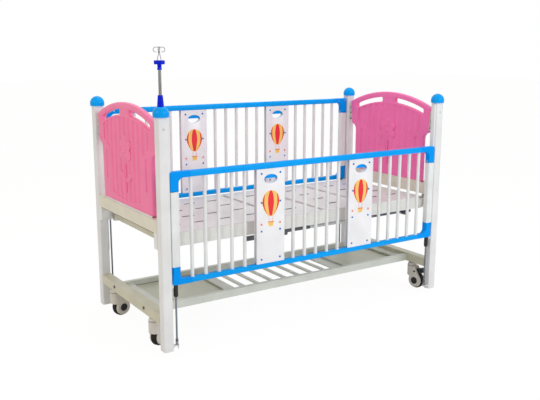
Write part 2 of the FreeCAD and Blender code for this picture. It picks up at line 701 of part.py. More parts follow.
# ---------------------------------------------------------------------------------------------
# Side rails, modelled as the lowered front rail and mirrored and lifted for the back
# ---------------------------------------------------------------------------------------------
def rail_tube(bottom_z, height, upper_r):
    """Lying tube between the corner mouldings."""
    half = RAIL_DEPTH / 2 - CORNER_PROUD
    length = RAIL_END_X - CORNER_LENGTH
    tube = block((-length, length), (-RAIL_Y - half, -RAIL_Y + half), (bottom_z, bottom_z + height))
    top = [(-RAIL_Y - half, bottom_z + height), (-RAIL_Y + half, bottom_z + height)]
    bottom = [(-RAIL_Y - half, bottom_z), (-RAIL_Y + half, bottom_z)]
    tube = tube.makeFillet(upper_r, long_edges(tube, 0, top))
    tube = tube.makeFillet(TUBE_R, long_edges(tube, 0, bottom))
    inset = half - TUBE_WALL
    hollow = block((-length, length), (-RAIL_Y - inset, -RAIL_Y + inset),
                   (bottom_z + TUBE_WALL, bottom_z + height - TUBE_WALL))
    edges = long_edges(hollow, 0, [(-RAIL_Y + side * inset, bottom_z + height - TUBE_WALL)
                                   for side in (-1, 1)])
    hollow = hollow.makeFillet(upper_r - TUBE_WALL, edges)
    edges = long_edges(hollow, 0, [(-RAIL_Y + side * inset, bottom_z + TUBE_WALL) for side in (-1, 1)])
    return tube.cut(hollow.makeFillet(TUBE_R - TUBE_WALL, edges))


def make_rail_tubes():
    return [
        rail_tube(RAIL_TOP_Z - TOP_TUBE_HEIGHT, TOP_TUBE_HEIGHT, TOP_TUBE_R),
        rail_tube(RAIL_LOW_Z, BOTTOM_TUBE_HEIGHT, TUBE_R),
    ]


def cut_for_rib_and_cylinder(shape, side_x):
    """Groove for the post's guide rib, and bore for the gas spring, in a rail's end."""
    groove = block((side_x * RAIL_END_X, side_x * (RAIL_END_X - GROOVE_DEPTH)),
                   (-RAIL_Y - GROOVE_WIDTH / 2, -RAIL_Y + GROOVE_WIDTH / 2),
                   (RAIL_LOW_Z - 1, RAIL_TOP_Z + 1))
    bore = cylinder(CYLINDER_R + CYLINDER_SEAT_GAP, vec(side_x * ROD_X, -RAIL_Y, CYLINDER_BOTTOM_Z),
                    Z_AXIS, CYLINDER_LENGTH + CYLINDER_SEAT_GAP)
    return shape.cut([groove, bore])


def corner_moulding(side_x, outer_z, tube_height, height, direction):
    """L-shaped moulding that joins a lying tube to an end profile; direction is +1 at the bottom."""
    end = side_x * RAIL_END_X
    inner = side_x * (RAIL_END_X - CORNER_WIDTH)
    far = side_x * (RAIL_END_X - CORNER_LENGTH)
    tube_z = outer_z + direction * tube_height
    arm_z = outer_z + direction * height
    r = CORNER_INNER_R
    bend = r * (1 - math.sqrt(0.5))
    s = CORNER_OUTER_R
    nip = s * (1 - math.sqrt(0.5))
    outline = [
        (far, outer_z),
        (far, tube_z),
        (inner - side_x * r, tube_z),
        ((inner - side_x * bend, tube_z + direction * bend), (inner, tube_z + direction * r)),
        (inner, arm_z),
        (end, arm_z),
        (end, outer_z + direction * s),
        ((end - side_x * nip, outer_z + direction * nip), (end - side_x * s, outer_z)),
    ]
    moulding = extrude_side_profile(outline, (-RAIL_Y - RAIL_DEPTH / 2, -RAIL_Y + RAIL_DEPTH / 2))
    return cut_for_rib_and_cylinder(moulding, side_x)


def make_rail_corners():
    corners = []
    for side_x in (-1, 1):
        corners.append(corner_moulding(side_x, RAIL_TOP_Z, TOP_TUBE_HEIGHT, TOP_CORNER_HEIGHT, -1))
        corners.append(corner_moulding(side_x, RAIL_LOW_Z, BOTTOM_TUBE_HEIGHT, BOTTOM_CORNER_HEIGHT, 1))
    return corners


def make_end_profiles():
    """Upright profiles between the corner mouldings, grooved to run on the posts' ribs."""
    profiles = []
    z_range = (RAIL_LOW_Z + BOTTOM_CORNER_HEIGHT, RAIL_TOP_Z - TOP_CORNER_HEIGHT)
    half = RAIL_DEPTH / 2 - CORNER_PROUD
    for side_x in (-1, 1):
        profile = block((side_x * RAIL_END_X, side_x * (RAIL_END_X - CORNER_WIDTH + CORNER_PROUD)),
                        (-RAIL_Y - half, -RAIL_Y + half), z_range)
        profiles.append(cut_for_rib_and_cylinder(profile, side_x))
    return profiles


def make_bars():
    """Round bars between the tubes; behind a panel two bars carry its screws."""
    bars = []
    places = [number * BAR_PITCH for number in range(-BAR_COUNT_EACH_SIDE, BAR_COUNT_EACH_SIDE + 1)
              if abs(abs(number) - BAR_COUNT_TO_PANEL) > 1]
    places += [side * PANEL_X + offset for side in (-1, 1) for offset in (-PANEL_CAP_X, PANEL_CAP_X)]
    for x in places:
        bars.append(cylinder(BAR_D / 2, vec(x, -RAIL_Y, BAR_BOTTOM_Z), Z_AXIS, BAR_TOP_Z - BAR_BOTTOM_Z))
    return bars


def make_panels():
    """Two sheets for each panel, one on each side of the bars, with an oval hand hole."""
    sheets = []
    for centre in (-PANEL_X, PANEL_X):
        hole_wire = Part.Ellipse(vec(centre, 0, HAND_HOLE_Z), HAND_HOLE_WIDTH / 2,
                                 HAND_HOLE_HEIGHT / 2).toShape()
        hole_wire.rotate(vec(centre, 0, HAND_HOLE_Z), X_AXIS, 90)
        hole_wire.translate(vec(0, -RAIL_Y - RAIL_DEPTH, 0))
        hole = Part.Face(Part.Wire(hole_wire)).extrude(vec(0, 2 * RAIL_DEPTH, 0))
        for side in (-1, 1):
            near = -RAIL_Y + side * BAR_D / 2
            sheet = block((centre - PANEL_WIDTH / 2, centre + PANEL_WIDTH / 2),
                          (near, near + side * SHEET_THICKNESS), (BAR_BOTTOM_Z, BAR_TOP_Z))
            sheets.append(sheet.cut(hole))
    return sheets


def make_panel_caps():
    """Hexagonal caps of the screws that clamp each panel's sheets, on both faces."""
    caps = []
    pitch = (BAR_TOP_Z - BAR_BOTTOM_Z - 2 * PANEL_CAP_EDGE) / (PANEL_CAP_ROWS - 1)
    outer = BAR_D / 2 + SHEET_THICKNESS
    for centre in (-PANEL_X, PANEL_X):
        for side_x in (-1, 1):
            for row in range(PANEL_CAP_ROWS):
                for side_y in (-1, 1):
                    x = centre + side_x * PANEL_CAP_X
                    z = BAR_BOTTOM_Z + PANEL_CAP_EDGE + row * pitch
                    caps.append(hexagon(vec(x, -RAIL_Y + side_y * outer, z),
                                        vec(0, side_y * PANEL_CAP_HEIGHT, 0)))
    return caps


def hexagon(centre, direction):
    """Six-sided prism that stands along Y."""
    points = []
    for number in range(7):
        angle = math.radians(60 * number)
        points.append(centre + vec(PANEL_CAP_R * math.cos(angle), 0, PANEL_CAP_R * math.sin(angle)))
    return Part.Face(Part.makePolygon(points)).extrude(direction)


def make_gas_cylinders():
    """Gas-spring bodies that rise from below the rail into its end profiles."""
    cylinders = []
    for side_x in (-1, 1):
        base = vec(side_x * ROD_X, -RAIL_Y, CYLINDER_BOTTOM_Z)
        body = cylinder(CYLINDER_R, base, Z_AXIS, CYLINDER_LENGTH)
        chamber = cylinder(CYLINDER_BORE_R, base + Z_AXIS * CYLINDER_CAP, Z_AXIS,
                           CYLINDER_LENGTH - 2 * CYLINDER_CAP)
        mouth = cylinder(ROD_R + RUNNING_GAP, base - Z_AXIS, Z_AXIS, CYLINDER_CAP + 2)
        cylinders.append(body.cut([chamber, mouth]))
    return cylinders


def make_trigger(centre):
    """Release handle that slides up between a panel's sheets."""
    half = TRIGGER_WIDTH / 2
    bottom = HAND_HOLE_Z + TRIGGER_ABOVE_HOLE_CENTRE
    thickness = BAR_D / 2 - TRIGGER_GAP
    trigger = block((centre - half, centre + half), (-RAIL_Y - thickness, -RAIL_Y + thickness),
                    (bottom, bottom + TRIGGER_HEIGHT))
    top = bottom + TRIGGER_HEIGHT
    return trigger.makeFillet(TRIGGER_R, long_edges(trigger, 1, [(centre - half, top),
                                                                  (centre + half, top)]))


def make_rail_nodes():
    """All nodes of one rail, as lists of solids by name."""
    return {
        "tubes": make_rail_tubes(),
        "corners": make_rail_corners(),
        "end_profiles": make_end_profiles(),
        "bars": make_bars(),
        "panels": make_panels(),
        "panel_caps": make_panel_caps(),
        "gas_cylinders": make_gas_cylinders(),
        "left_trigger": [make_trigger(-PANEL_X)],
        "right_trigger": [make_trigger(PANEL_X)],
    }


def as_back_rail(solids):
    """Copies of the front rail's solids, on the other side and raised by the full travel."""
    copies = []
    for solid in solids:
        copy = mirrored(solid, Y_AXIS)
        copy.translate(vec(0, 0, RAIL_TRAVEL))
        copies.append(copy)
    return copies


def make_spring_rods():
    """Gas-spring rods with their pistons, standing on the feet at the posts."""
    rods = []
    for side_x, side_y in CORNERS.values():
        base = vec(side_x * ROD_X, side_y * RAIL_Y, ROD_FOOT_Z[1])
        rod = cylinder(ROD_R, base, Z_AXIS, ROD_TOP_Z - ROD_FOOT_Z[1])
        piston = cylinder(CYLINDER_BORE_R - RUNNING_GAP,
                          vec(base.x, base.y, ROD_TOP_Z - PISTON_LENGTH), Z_AXIS, PISTON_LENGTH)
        rods.append(fused([rod, piston]))
    return rods


def make_rod_feet():
    """Brackets near the foot of each post that hold the gas-spring rods."""
    feet = []
    for side_x, side_y in CORNERS.values():
        reach = side_x * (ROD_X - ROD_FOOT_WIDTH / 2)
        foot = block((side_x * POST_INNER_X, reach),
                     (side_y * RAIL_Y - ROD_FOOT_WIDTH / 2, side_y * RAIL_Y + ROD_FOOT_WIDTH / 2),
                     ROD_FOOT_Z)
        feet.append(foot.makeFillet(ROD_FOOT_WIDTH / 3, upright_edges(foot, x=reach)))
    return feet


# ---------------------------------------------------------------------------------------------
# Deck frame and deck sections
# ---------------------------------------------------------------------------------------------
def cross_tube(centre_x):
    half = CROSS_TUBE_WIDTH / 2
    return hollow_bar((centre_x - half, centre_x + half), (-SIDE_TUBE_INNER_Y, SIDE_TUBE_INNER_Y),
                      CROSS_TUBE_Z, CROSS_TUBE_WALL, "y")


def make_deck_frame():
    """Side tubes, cross tubes, pivot bosses for the back section and lugs for the post brackets."""
    parts = []
    for side in (-1, 1):
        parts.append(hollow_bar((-SIDE_TUBE_END_X, SIDE_TUBE_END_X),
                                (side * SIDE_TUBE_INNER_Y, side * SIDE_TUBE_OUTER_Y),
                                (SIDE_TUBE_BOTTOM_Z, SIDE_TUBE_TOP_Z), SIDE_TUBE_WALL, "x"))
        parts.append(block((BACK_GAP_X - PIVOT_BOSS_HALF, BACK_GAP_X + PIVOT_BOSS_HALF),
                           (side * (SIDE_TUBE_INNER_Y + SIDE_TUBE_WALL / 2),
                            side * (SIDE_TUBE_OUTER_Y - SIDE_TUBE_WALL / 2)),
                           (PIVOT_Z - PIVOT_BOSS_HALF, SIDE_TUBE_TOP_Z - SIDE_TUBE_WALL / 2)))
    end = SIDE_TUBE_END_X - CROSS_TUBE_WIDTH / 2
    for centre in (-end, THIGH_GAP_X, CALF_GAP_X, end):
        parts.append(cross_tube(centre))
    lug_bottom = BRACKET_BOTTOM_Z + BRACKET_WALL
    lug_end = POST_INNER_X - BRACKET_OVERHANG + BRACKET_SIZE[0] - BRACKET_WALL
    for side_x, side_y in CORNERS.values():
        parts.append(block((side_x * (SIDE_TUBE_END_X - CROSS_TUBE_WIDTH), side_x * lug_end),
                           (side_y * SIDE_TUBE_OUTER_Y, side_y * (POST_INNER_Y - LUG_POST_GAP)),
                           (lug_bottom, lug_bottom + LUG_HEIGHT)))
    frame = fused(parts)
    for side in (-1, 1):
        start = vec(BACK_GAP_X, side * (SIDE_TUBE_INNER_Y - 1), PIVOT_Z)
        frame = frame.cut(cylinder(TORQUE_PIN_R + RUNNING_GAP, start, vec(0, side, 0),
                                   TORQUE_PIN_LENGTH + 1 + SECTION_REST_GAP))
    return frame


def make_deck_brackets():
    """Open boxes on the posts, under the upper beams, in which the deck's lugs sit."""
    brackets = []
    for side_x, side_y in CORNERS.values():
        near_x = POST_INNER_X - BRACKET_OVERHANG
        far_x = near_x + BRACKET_SIZE[0]
        near_y = POST_INNER_Y - BRACKET_SIZE[1]
        x_range = (side_x * near_x, side_x * far_x)
        y_range = (side_y * near_y, side_y * POST_INNER_Y)
        outer = block(x_range, y_range, (BRACKET_BOTTOM_Z, UPPER_BEAM_BOTTOM_Z))
        inner = block((side_x * (near_x - 1), side_x * (far_x - BRACKET_WALL)),
                      (side_y * (near_y + BRACKET_WALL), side_y * (POST_INNER_Y + 1)),
                      (BRACKET_BOTTOM_Z + BRACKET_WALL, UPPER_BEAM_BOTTOM_Z + 1))
        bracket = outer.cut(inner)
        brackets.append(bracket)
    return brackets


def vents(x_range):
    """Ventilation slots of a section, in evenly spaced rows and columns about its middle."""
    low, high = min(x_range), max(x_range)
    columns = max(1, int((high - low) // VENT_PITCH_X))
    middle = (low + high) / 2
    slots = []
    for column in range(columns):
        x = middle + (column - (columns - 1) / 2) * VENT_PITCH_X
        for row in range(VENT_ROWS):
            y = (row - (VENT_ROWS - 1) / 2) * VENT_PITCH_Y
            slots.append(block((x - VENT_LENGTH / 2, x + VENT_LENGTH / 2),
                               (y - VENT_WIDTH / 2, y + VENT_WIDTH / 2),
                               (DECK_TOP_Z - 2 * SHEET_STEEL, DECK_TOP_Z + SHEET_STEEL)))
    return slots


def section_pan(x_range, lift):
    """Pressed steel section: a slotted sheet with a stiffening flange all round underneath."""
    sheet = block(x_range, (-DECK_HALF_WIDTH, DECK_HALF_WIDTH), (SIDE_TUBE_TOP_Z, DECK_TOP_Z))
    flange_bottom = CROSS_TUBE_TOP_Z + SECTION_REST_GAP - lift
    outer = block(x_range, (-SECTION_FLANGE_Y, SECTION_FLANGE_Y), (flange_bottom, SIDE_TUBE_TOP_Z))
    inner = block((min(x_range) + SHEET_STEEL, max(x_range) - SHEET_STEEL),
                  (-SECTION_FLANGE_Y + SHEET_STEEL, SECTION_FLANGE_Y - SHEET_STEEL),
                  (flange_bottom - 1, SIDE_TUBE_TOP_Z))
    pan = fused([sheet, outer.cut(inner)]).cut(vents(x_range))
    pan.translate(vec(0, 0, lift))
    return pan


def make_back_section():
    """Hinged section with its torque bar, pivot pins, lugs and the lever of the screw drive."""
    edge = BACK_GAP_X - SECTION_GAP / 2
    pan = section_pan((-DECK_HALF_LENGTH, edge), SECTION_REST_GAP)
    reach = SIDE_TUBE_INNER_Y - 2 * SECTION_REST_GAP
    axis_start = vec(BACK_GAP_X, -reach, PIVOT_Z)
    tube = cylinder(TORQUE_BAR_R, axis_start, Y_AXIS, 2 * reach)
    parts = [pan, tube]
    for side in (-1, 1):
        start = vec(BACK_GAP_X, side * (reach - 1), PIVOT_Z)
        pin_end = SIDE_TUBE_INNER_Y + TORQUE_PIN_LENGTH
        parts.append(cylinder(TORQUE_PIN_R, start, vec(0, side, 0), pin_end - reach + 1))
        for y in PIVOT_LUG_Y:
            parts.append(block((edge - SHEET_STEEL, BACK_GAP_X),
                               (side * (y - PIVOT_LUG_THICKNESS / 2), side * (y + PIVOT_LUG_THICKNESS / 2)),
                               (CROSS_TUBE_TOP_Z + 2 * SECTION_REST_GAP, SIDE_TUBE_TOP_Z - 3)))
    parts.append(make_lever())
    return fused(parts)


def make_lever():
    """Lever from the torque bar down to the push rod's fork, with its cross pin."""
    low = DRIVE_Y - LEVER_THICKNESS / 2
    arm = block((BACK_GAP_X - LEVER_HALF_WIDTH, BACK_GAP_X + LEVER_HALF_WIDTH), (low, low + LEVER_THICKNESS),
                (PIVOT_Z - LEVER_LENGTH, PIVOT_Z))
    arm.rotate(vec(BACK_GAP_X, 0, PIVOT_Z), Y_AXIS, -LEVER_LEAN)
    eye = cylinder(LEVER_EYE_R, vec(LEVER_PIN_X, low, LEVER_PIN_Z), Y_AXIS, LEVER_THICKNESS)
    reach = LEVER_THICKNESS / 2 + FORK_GAP + FORK_CHEEK
    pin = cylinder(LEVER_PIN_R, vec(LEVER_PIN_X, DRIVE_Y - reach, LEVER_PIN_Z), Y_AXIS, 2 * reach)
    return fused([arm, eye, pin])


def make_push_rod():
    """Tube with a slotted fork at the lever and a threaded nut at the spindle."""
    near = LEVER_THICKNESS / 2 + FORK_GAP
    slot_half = LEVER_PIN_R + FORK_SLOT_CLEARANCE
    slot_low = LEVER_LOWEST_Z - slot_half
    slot_high = LEVER_PIN_Z + slot_half
    tube_start = LEVER_PIN_X + LEVER_EYE_R + FORK_TUBE_GAP
    tube = cylinder(PUSH_TUBE_R, vec(tube_start, DRIVE_Y, DRIVE_Z), X_AXIS,
                    PUSH_TUBE_END_X - tube_start)
    parts = [tube]
    for side in (-1, 1):
        cheek = block((LEVER_PIN_X - slot_half - FORK_EDGE,
                       LEVER_PIN_X - slot_half + FORK_LENGTH + FORK_EDGE),
                      (DRIVE_Y + side * near, DRIVE_Y + side * (near + FORK_CHEEK)),
                      (slot_low - FORK_EDGE, slot_high + FORK_EDGE))
        slot = block((LEVER_PIN_X - slot_half, LEVER_PIN_X + slot_half),
                     (DRIVE_Y - PUSH_TUBE_R, DRIVE_Y + PUSH_TUBE_R), (slot_low, slot_high))
        parts.append(cheek.cut(slot))
    rod = fused(parts)
    nut_start = PUSH_TUBE_END_X - NUT_LENGTH
    chamber = cylinder(PUSH_TUBE_BORE_R, vec(tube_start + 8, DRIVE_Y, DRIVE_Z), X_AXIS,
                       nut_start - tube_start - 8)
    thread = cylinder(SPINDLE_R + RUNNING_GAP, vec(nut_start - 1, DRIVE_Y, DRIVE_Z), X_AXIS,
                      NUT_LENGTH + 2)
    return rod.cut([chamber, thread])


def make_crank_spindle():
    """Screw spindle with the crank arm, which rests pointing across the cot."""
    spindle = cylinder(SPINDLE_R, vec(SPINDLE_START_X, DRIVE_Y, DRIVE_Z), X_AXIS,
                       CRANK_ARM_X + CRANK_ARM_THICKNESS - SPINDLE_START_X)
    half = CRANK_ARM_WIDTH / 2
    arm_end = DRIVE_Y + CRANK_ARM_LENGTH
    arm = block((CRANK_ARM_X, CRANK_ARM_X + CRANK_ARM_THICKNESS), (DRIVE_Y, arm_end),
                (DRIVE_Z - half, DRIVE_Z + half))
    hub = cylinder(half, vec(CRANK_ARM_X, DRIVE_Y, DRIVE_Z), X_AXIS, CRANK_ARM_THICKNESS)
    parts = [spindle, arm, hub]
    grip_x = CRANK_ARM_X + CRANK_ARM_THICKNESS + GRIP_ARM_GAP + KNUCKLE_R
    ear_near = KNUCKLE_R + SWIVEL_GAP
    for side in (-1, 1):
        z_range = (DRIVE_Z + side * ear_near, DRIVE_Z + side * (ear_near + GRIP_EAR_THICKNESS))
        parts.append(block((CRANK_ARM_X, grip_x), (arm_end - 2 * GRIP_PIN_R, arm_end + 2 * GRIP_PIN_R),
                           z_range))
        parts.append(cylinder(2 * GRIP_PIN_R, vec(grip_x, arm_end, min(z_range)), Z_AXIS,
                              GRIP_EAR_THICKNESS))
    parts.append(block((CRANK_ARM_X, CRANK_ARM_X + CRANK_ARM_THICKNESS),
                       (arm_end - 2 * GRIP_PIN_R, arm_end + 2 * GRIP_PIN_R),
                       (DRIVE_Z - ear_near - GRIP_EAR_THICKNESS, DRIVE_Z + ear_near + GRIP_EAR_THICKNESS)))
    pin_half = ear_near + GRIP_EAR_THICKNESS
    parts.append(cylinder(GRIP_PIN_R, vec(grip_x, arm_end, DRIVE_Z - pin_half), Z_AXIS, 2 * pin_half))
    return fused(parts)


def make_crank_grip():
    """Grip that folds against the crank arm, pointing back towards the spindle."""
    grip_x = CRANK_ARM_X + CRANK_ARM_THICKNESS + GRIP_ARM_GAP + KNUCKLE_R
    pivot = vec(grip_x, DRIVE_Y + CRANK_ARM_LENGTH, DRIVE_Z)
    knuckle = cylinder(KNUCKLE_R, pivot - Z_AXIS * KNUCKLE_R, Z_AXIS, 2 * KNUCKLE_R)
    handle = cylinder(GRIP_R, pivot, vec(0, -1, 0), GRIP_LENGTH)
    tip = [edge for edge in handle.Edges
           if abs(edge.BoundBox.YMin - (pivot.y - GRIP_LENGTH)) < 1e-6 and edge.BoundBox.YLength < 1e-6]
    handle = handle.makeChamfer(GRIP_R / 3, tip)
    bore = cylinder(GRIP_PIN_R + RUNNING_GAP, pivot - Z_AXIS * 2 * KNUCKLE_R, Z_AXIS, 4 * KNUCKLE_R)
    return fused([knuckle, handle]).cut(bore)


def make_crank_bearing():
    """Bearing plate under the foot-end cross tube, through which the spindle passes."""
    half = CRANK_BEARING_WIDTH / 2
    centre = SIDE_TUBE_END_X - CROSS_TUBE_WIDTH / 2
    plate = block((centre - CRANK_BEARING_THICKNESS / 2, centre + CRANK_BEARING_THICKNESS / 2),
                  (DRIVE_Y - half, DRIVE_Y + half),
                  (DRIVE_Z - CRANK_BEARING_BELOW_AXIS, CROSS_TUBE_Z[0]))
    bore = cylinder(SPINDLE_R + RUNNING_GAP, vec(centre - CRANK_BEARING_THICKNESS, DRIVE_Y, DRIVE_Z),
                    X_AXIS, 2 * CRANK_BEARING_THICKNESS)
    return plate.cut(bore)


# ---------------------------------------------------------------------------------------------
# Storage shelf
# ---------------------------------------------------------------------------------------------
def make_shelf_rails():
    rails = []
    for side in (-1, 1):
        rails.append(hollow_bar((-LOWER_BEAM_INNER_X, LOWER_BEAM_INNER_X),
                                (side * SHELF_RAIL_INNER_Y, side * SHELF_RAIL_OUTER_Y),
                                (SHELF_RAIL_TOP_Z - SHELF_RAIL_HEIGHT, SHELF_RAIL_TOP_Z),
                                SHELF_RAIL_WALL, "x"))
    return rails


def make_shelf_trays():
    """Two solid trays, each a thin floor with turned-up ends."""
    trays = []
    for side in (-1, 1):
        x_range = (side * TRAY_INNER_X, side * TRAY_OUTER_X)
        outer = block(x_range, (-SHELF_RAIL_INNER_Y, SHELF_RAIL_INNER_Y),
                      (SHELF_FLOOR_Z - TRAY_SHEET, SHELF_FLOOR_Z - TRAY_SHEET + TRAY_EDGE_HEIGHT))
        hollow = block((side * (TRAY_INNER_X + TRAY_SHEET), side * (TRAY_OUTER_X - TRAY_SHEET)),
                       (-SHELF_RAIL_INNER_Y - 1, SHELF_RAIL_INNER_Y + 1),
                       (SHELF_FLOOR_Z, SHELF_FLOOR_Z + TRAY_EDGE_HEIGHT))
        trays.append(outer.cut(hollow))
    return trays


def make_shelf_slats():
    """Slats across the middle, a plate beside each tray and an end plate at each beam."""
    y_range = (-SHELF_RAIL_INNER_Y, SHELF_RAIL_INNER_Y)
    pieces = []
    for number in range(-SLATS_EACH_SIDE, SLATS_EACH_SIDE + 1):
        x = number * SLAT_PITCH
        pieces.append(block((x - SLAT_WIDTH / 2, x + SLAT_WIDTH / 2), y_range,
                            (SHELF_FLOOR_Z - SLAT_THICKNESS, SHELF_FLOOR_Z)))
    for side in (-1, 1):
        pieces.append(block((side * PLATE_INNER_X, side * TRAY_INNER_X), y_range,
                            (SHELF_FLOOR_Z - PLATE_THICKNESS, SHELF_FLOOR_Z)))
        pieces.append(block((side * TRAY_OUTER_X, side * LOWER_BEAM_INNER_X), y_range,
                            (SHELF_FLOOR_Z - PLATE_THICKNESS, SHELF_FLOOR_Z + END_PLATE_RISE)))
    return pieces


# ---------------------------------------------------------------------------------------------
# Castors, modelled about their stem with the wheel trailing along +X
# ---------------------------------------------------------------------------------------------
def make_castor_stem():
    """Swivel cup and pin that are fixed under an end beam."""
    washer = cylinder(WASHER_R, vec(0, 0, LOWER_BEAM_BOTTOM_Z - WASHER_HEIGHT), Z_AXIS, WASHER_HEIGHT)
    cup = cylinder(CUP_R, vec(0, 0, STEM_BOTTOM_OF_CUP_Z), Z_AXIS, CUP_HEIGHT)
    rim = [edge for edge in cup.Edges if edge.BoundBox.ZMin > STEM_BOTTOM_OF_CUP_Z + CUP_HEIGHT - 1e-3]
    cup = cup.makeChamfer(CUP_R - WASHER_R, rim)
    pin = cylinder(STEM_R, vec(0, 0, STEM_BOTTOM_OF_CUP_Z - STEM_LENGTH), Z_AXIS, STEM_LENGTH)
    return fused([washer, cup, pin])


def housing_outline():
    """Side view of the housing: round covers under a hood that slopes from the swivel."""
    centre = (CASTOR_TRAIL, WHEEL_R)
    front = (-HOUSING_NOSE_R, HOUSING_FRONT_BOTTOM_Z)
    back = (HOUSING_BACK_X, HOUSING_TOP_Z)
    back_touch = tangent_point(back, centre, COVER_R, 1)
    front_touch = tangent_point(front, centre, COVER_R, -1)
    lowest = (CASTOR_TRAIL, WHEEL_R - COVER_R)
    return [(-HOUSING_NOSE_R, HOUSING_TOP_Z), back, back_touch, (lowest, front_touch), front]


def tangent_point(point, centre, radius, turn):
    """Where a line from a point touches a circle, on the side chosen by turn."""
    dx, dz = centre[0] - point[0], centre[1] - point[1]
    distance = math.hypot(dx, dz)
    angle = math.atan2(dz, dx) + turn * math.asin(radius / distance)
    length = math.sqrt(distance ** 2 - radius ** 2)
    return (point[0] + length * math.cos(angle), point[1] + length * math.sin(angle))


def make_housing():
    """Twin-cover housing with a rounded nose, open round the wheel and behind for the pedal."""
    w = HOUSING_HALF_WIDTH
    body = extrude_side_profile(housing_outline(), (-w, w))
    nose = cylinder(HOUSING_NOSE_R, ORIGIN, Z_AXIS, HOUSING_TOP_Z)
    tail = block((0, CASTOR_TRAIL + WHEEL_R), (-w, w), (0, HOUSING_TOP_Z))
    body = body.common(nose.fuse(tail))
    gap = WHEEL_SLOT_HALF
    wheel_space = cylinder(WHEEL_R + WHEEL_TOP_GAP, vec(CASTOR_TRAIL, -gap, WHEEL_R), Y_AXIS, 2 * gap)
    pedal_half = PEDAL_HALF_WIDTH + PEDAL_SIDE_GAP
    pedal_space = block((PEDAL_PIVOT[0] - PEDAL_SPACE_AHEAD, CASTOR_TRAIL + 2 * WHEEL_R),
                        (-pedal_half, pedal_half),
                        (WHEEL_R, HOUSING_TOP_Z + 1))
    stem_hole = cylinder(STEM_R + RUNNING_GAP, vec(0, 0, STEM_BOTTOM_OF_CUP_Z - STEM_LENGTH - 1), Z_AXIS,
                         STEM_LENGTH + 2)
    axle_hole = cylinder(AXLE_R, vec(CASTOR_TRAIL, -2 * w, WHEEL_R), Y_AXIS, 4 * w)
    reach = pedal_half + PEDAL_PIN_REACH
    pin_hole = cylinder(PEDAL_PIN_R + RUNNING_GAP, vec(PEDAL_PIVOT[0], -reach, PEDAL_PIVOT[1]), Y_AXIS,
                        2 * reach)
    return body.cut([wheel_space, pedal_space, stem_hole, axle_hole, pin_hole])


def make_axle():
    """Axle with a hub cap on each cover."""
    w = HOUSING_HALF_WIDTH
    parts = [cylinder(AXLE_R, vec(CASTOR_TRAIL, -w, WHEEL_R), Y_AXIS, 2 * w)]
    for side in (-1, 1):
        parts.append(cylinder(HUB_CAP_R, vec(CASTOR_TRAIL, side * w, WHEEL_R), vec(0, side, 0),
                              HUB_CAP_HEIGHT))
    return fused(parts)


def make_wheel():
    """Tyre and rim, as two solids that turn together."""
    half = WHEEL_WIDTH / 2
    start = vec(CASTOR_TRAIL, -half, WHEEL_R)
    tread = cylinder(WHEEL_R, start, Y_AXIS, WHEEL_WIDTH)
    tread = tread.makeChamfer(WHEEL_SHOULDER * 0.7, [edge for edge in tread.Edges
                                                      if edge.BoundBox.YLength < 1e-6])
    inner = WHEEL_R - TYRE_DEPTH
    tyre = tread.cut(cylinder(inner, start, Y_AXIS, WHEEL_WIDTH))
    rim = cylinder(inner, start, Y_AXIS, WHEEL_WIDTH)
    rim = rim.cut(cylinder(AXLE_R + RUNNING_GAP, start, Y_AXIS, WHEEL_WIDTH))
    return [tyre, rim]


def make_pedal():
    """Brake pedal that projects behind the wheel, with its pivot pins and brake nib."""
    x, z = PEDAL_PIVOT
    outline = [(x + along, z + up) for along, up in PEDAL_OUTLINE]
    lever = extrude_side_profile(outline, (-PEDAL_HALF_WIDTH, PEDAL_HALF_WIDTH))
    reach = PEDAL_HALF_WIDTH + PEDAL_SIDE_GAP + PEDAL_PIN_REACH - PEDAL_PIN_END_GAP
    pin = cylinder(PEDAL_PIN_R, vec(x, -reach, z), Y_AXIS, 2 * reach)
    return fused([lever, pin])


def placed_castor_piece(solids, corner):
    """Castor solids turned to their heading and moved under their corner."""
    side_x, side_y = CORNERS[corner]
    moved = []
    for solid in solids:
        copy = solid.copy()
        copy.rotate(ORIGIN, Z_AXIS, CASTOR_HEADINGS[corner])
        copy.translate(vec(side_x * POST_X, side_y * STEM_Y, 0))
        moved.append(copy)
    return moved


# ---------------------------------------------------------------------------------------------
# Infusion pole
# ---------------------------------------------------------------------------------------------
def make_collar():
    """Fluted clamp collar on the cap."""
    base = COLLAR_SEAT_Z + SWIVEL_GAP
    body = Part.makeCone(COLLAR_BOTTOM_R, COLLAR_TOP_R, COLLAR_HEIGHT, vec(0, 0, base))
    tools = [cylinder(POLE_R + RUNNING_GAP, vec(0, 0, base - 1), Z_AXIS, COLLAR_HEIGHT + 2)]
    slope = math.degrees(math.atan2(COLLAR_BOTTOM_R - COLLAR_TOP_R, COLLAR_HEIGHT))
    for number in range(COLLAR_FLUTES):
        flute = cylinder(COLLAR_FLUTE_R, vec(COLLAR_BOTTOM_R, 0, base - 5), Z_AXIS, COLLAR_HEIGHT + 10)
        flute.rotate(vec(COLLAR_BOTTOM_R, 0, base), Y_AXIS, -slope)
        flute.rotate(ORIGIN, Z_AXIS, 360 / COLLAR_FLUTES * number)
        tools.append(flute)
    return body.cut(tools)


def make_pole():
    return cylinder(POLE_R, vec(0, 0, POLE_TOP_Z + HEAD_SOCKET - POLE_LENGTH), Z_AXIS, POLE_LENGTH)


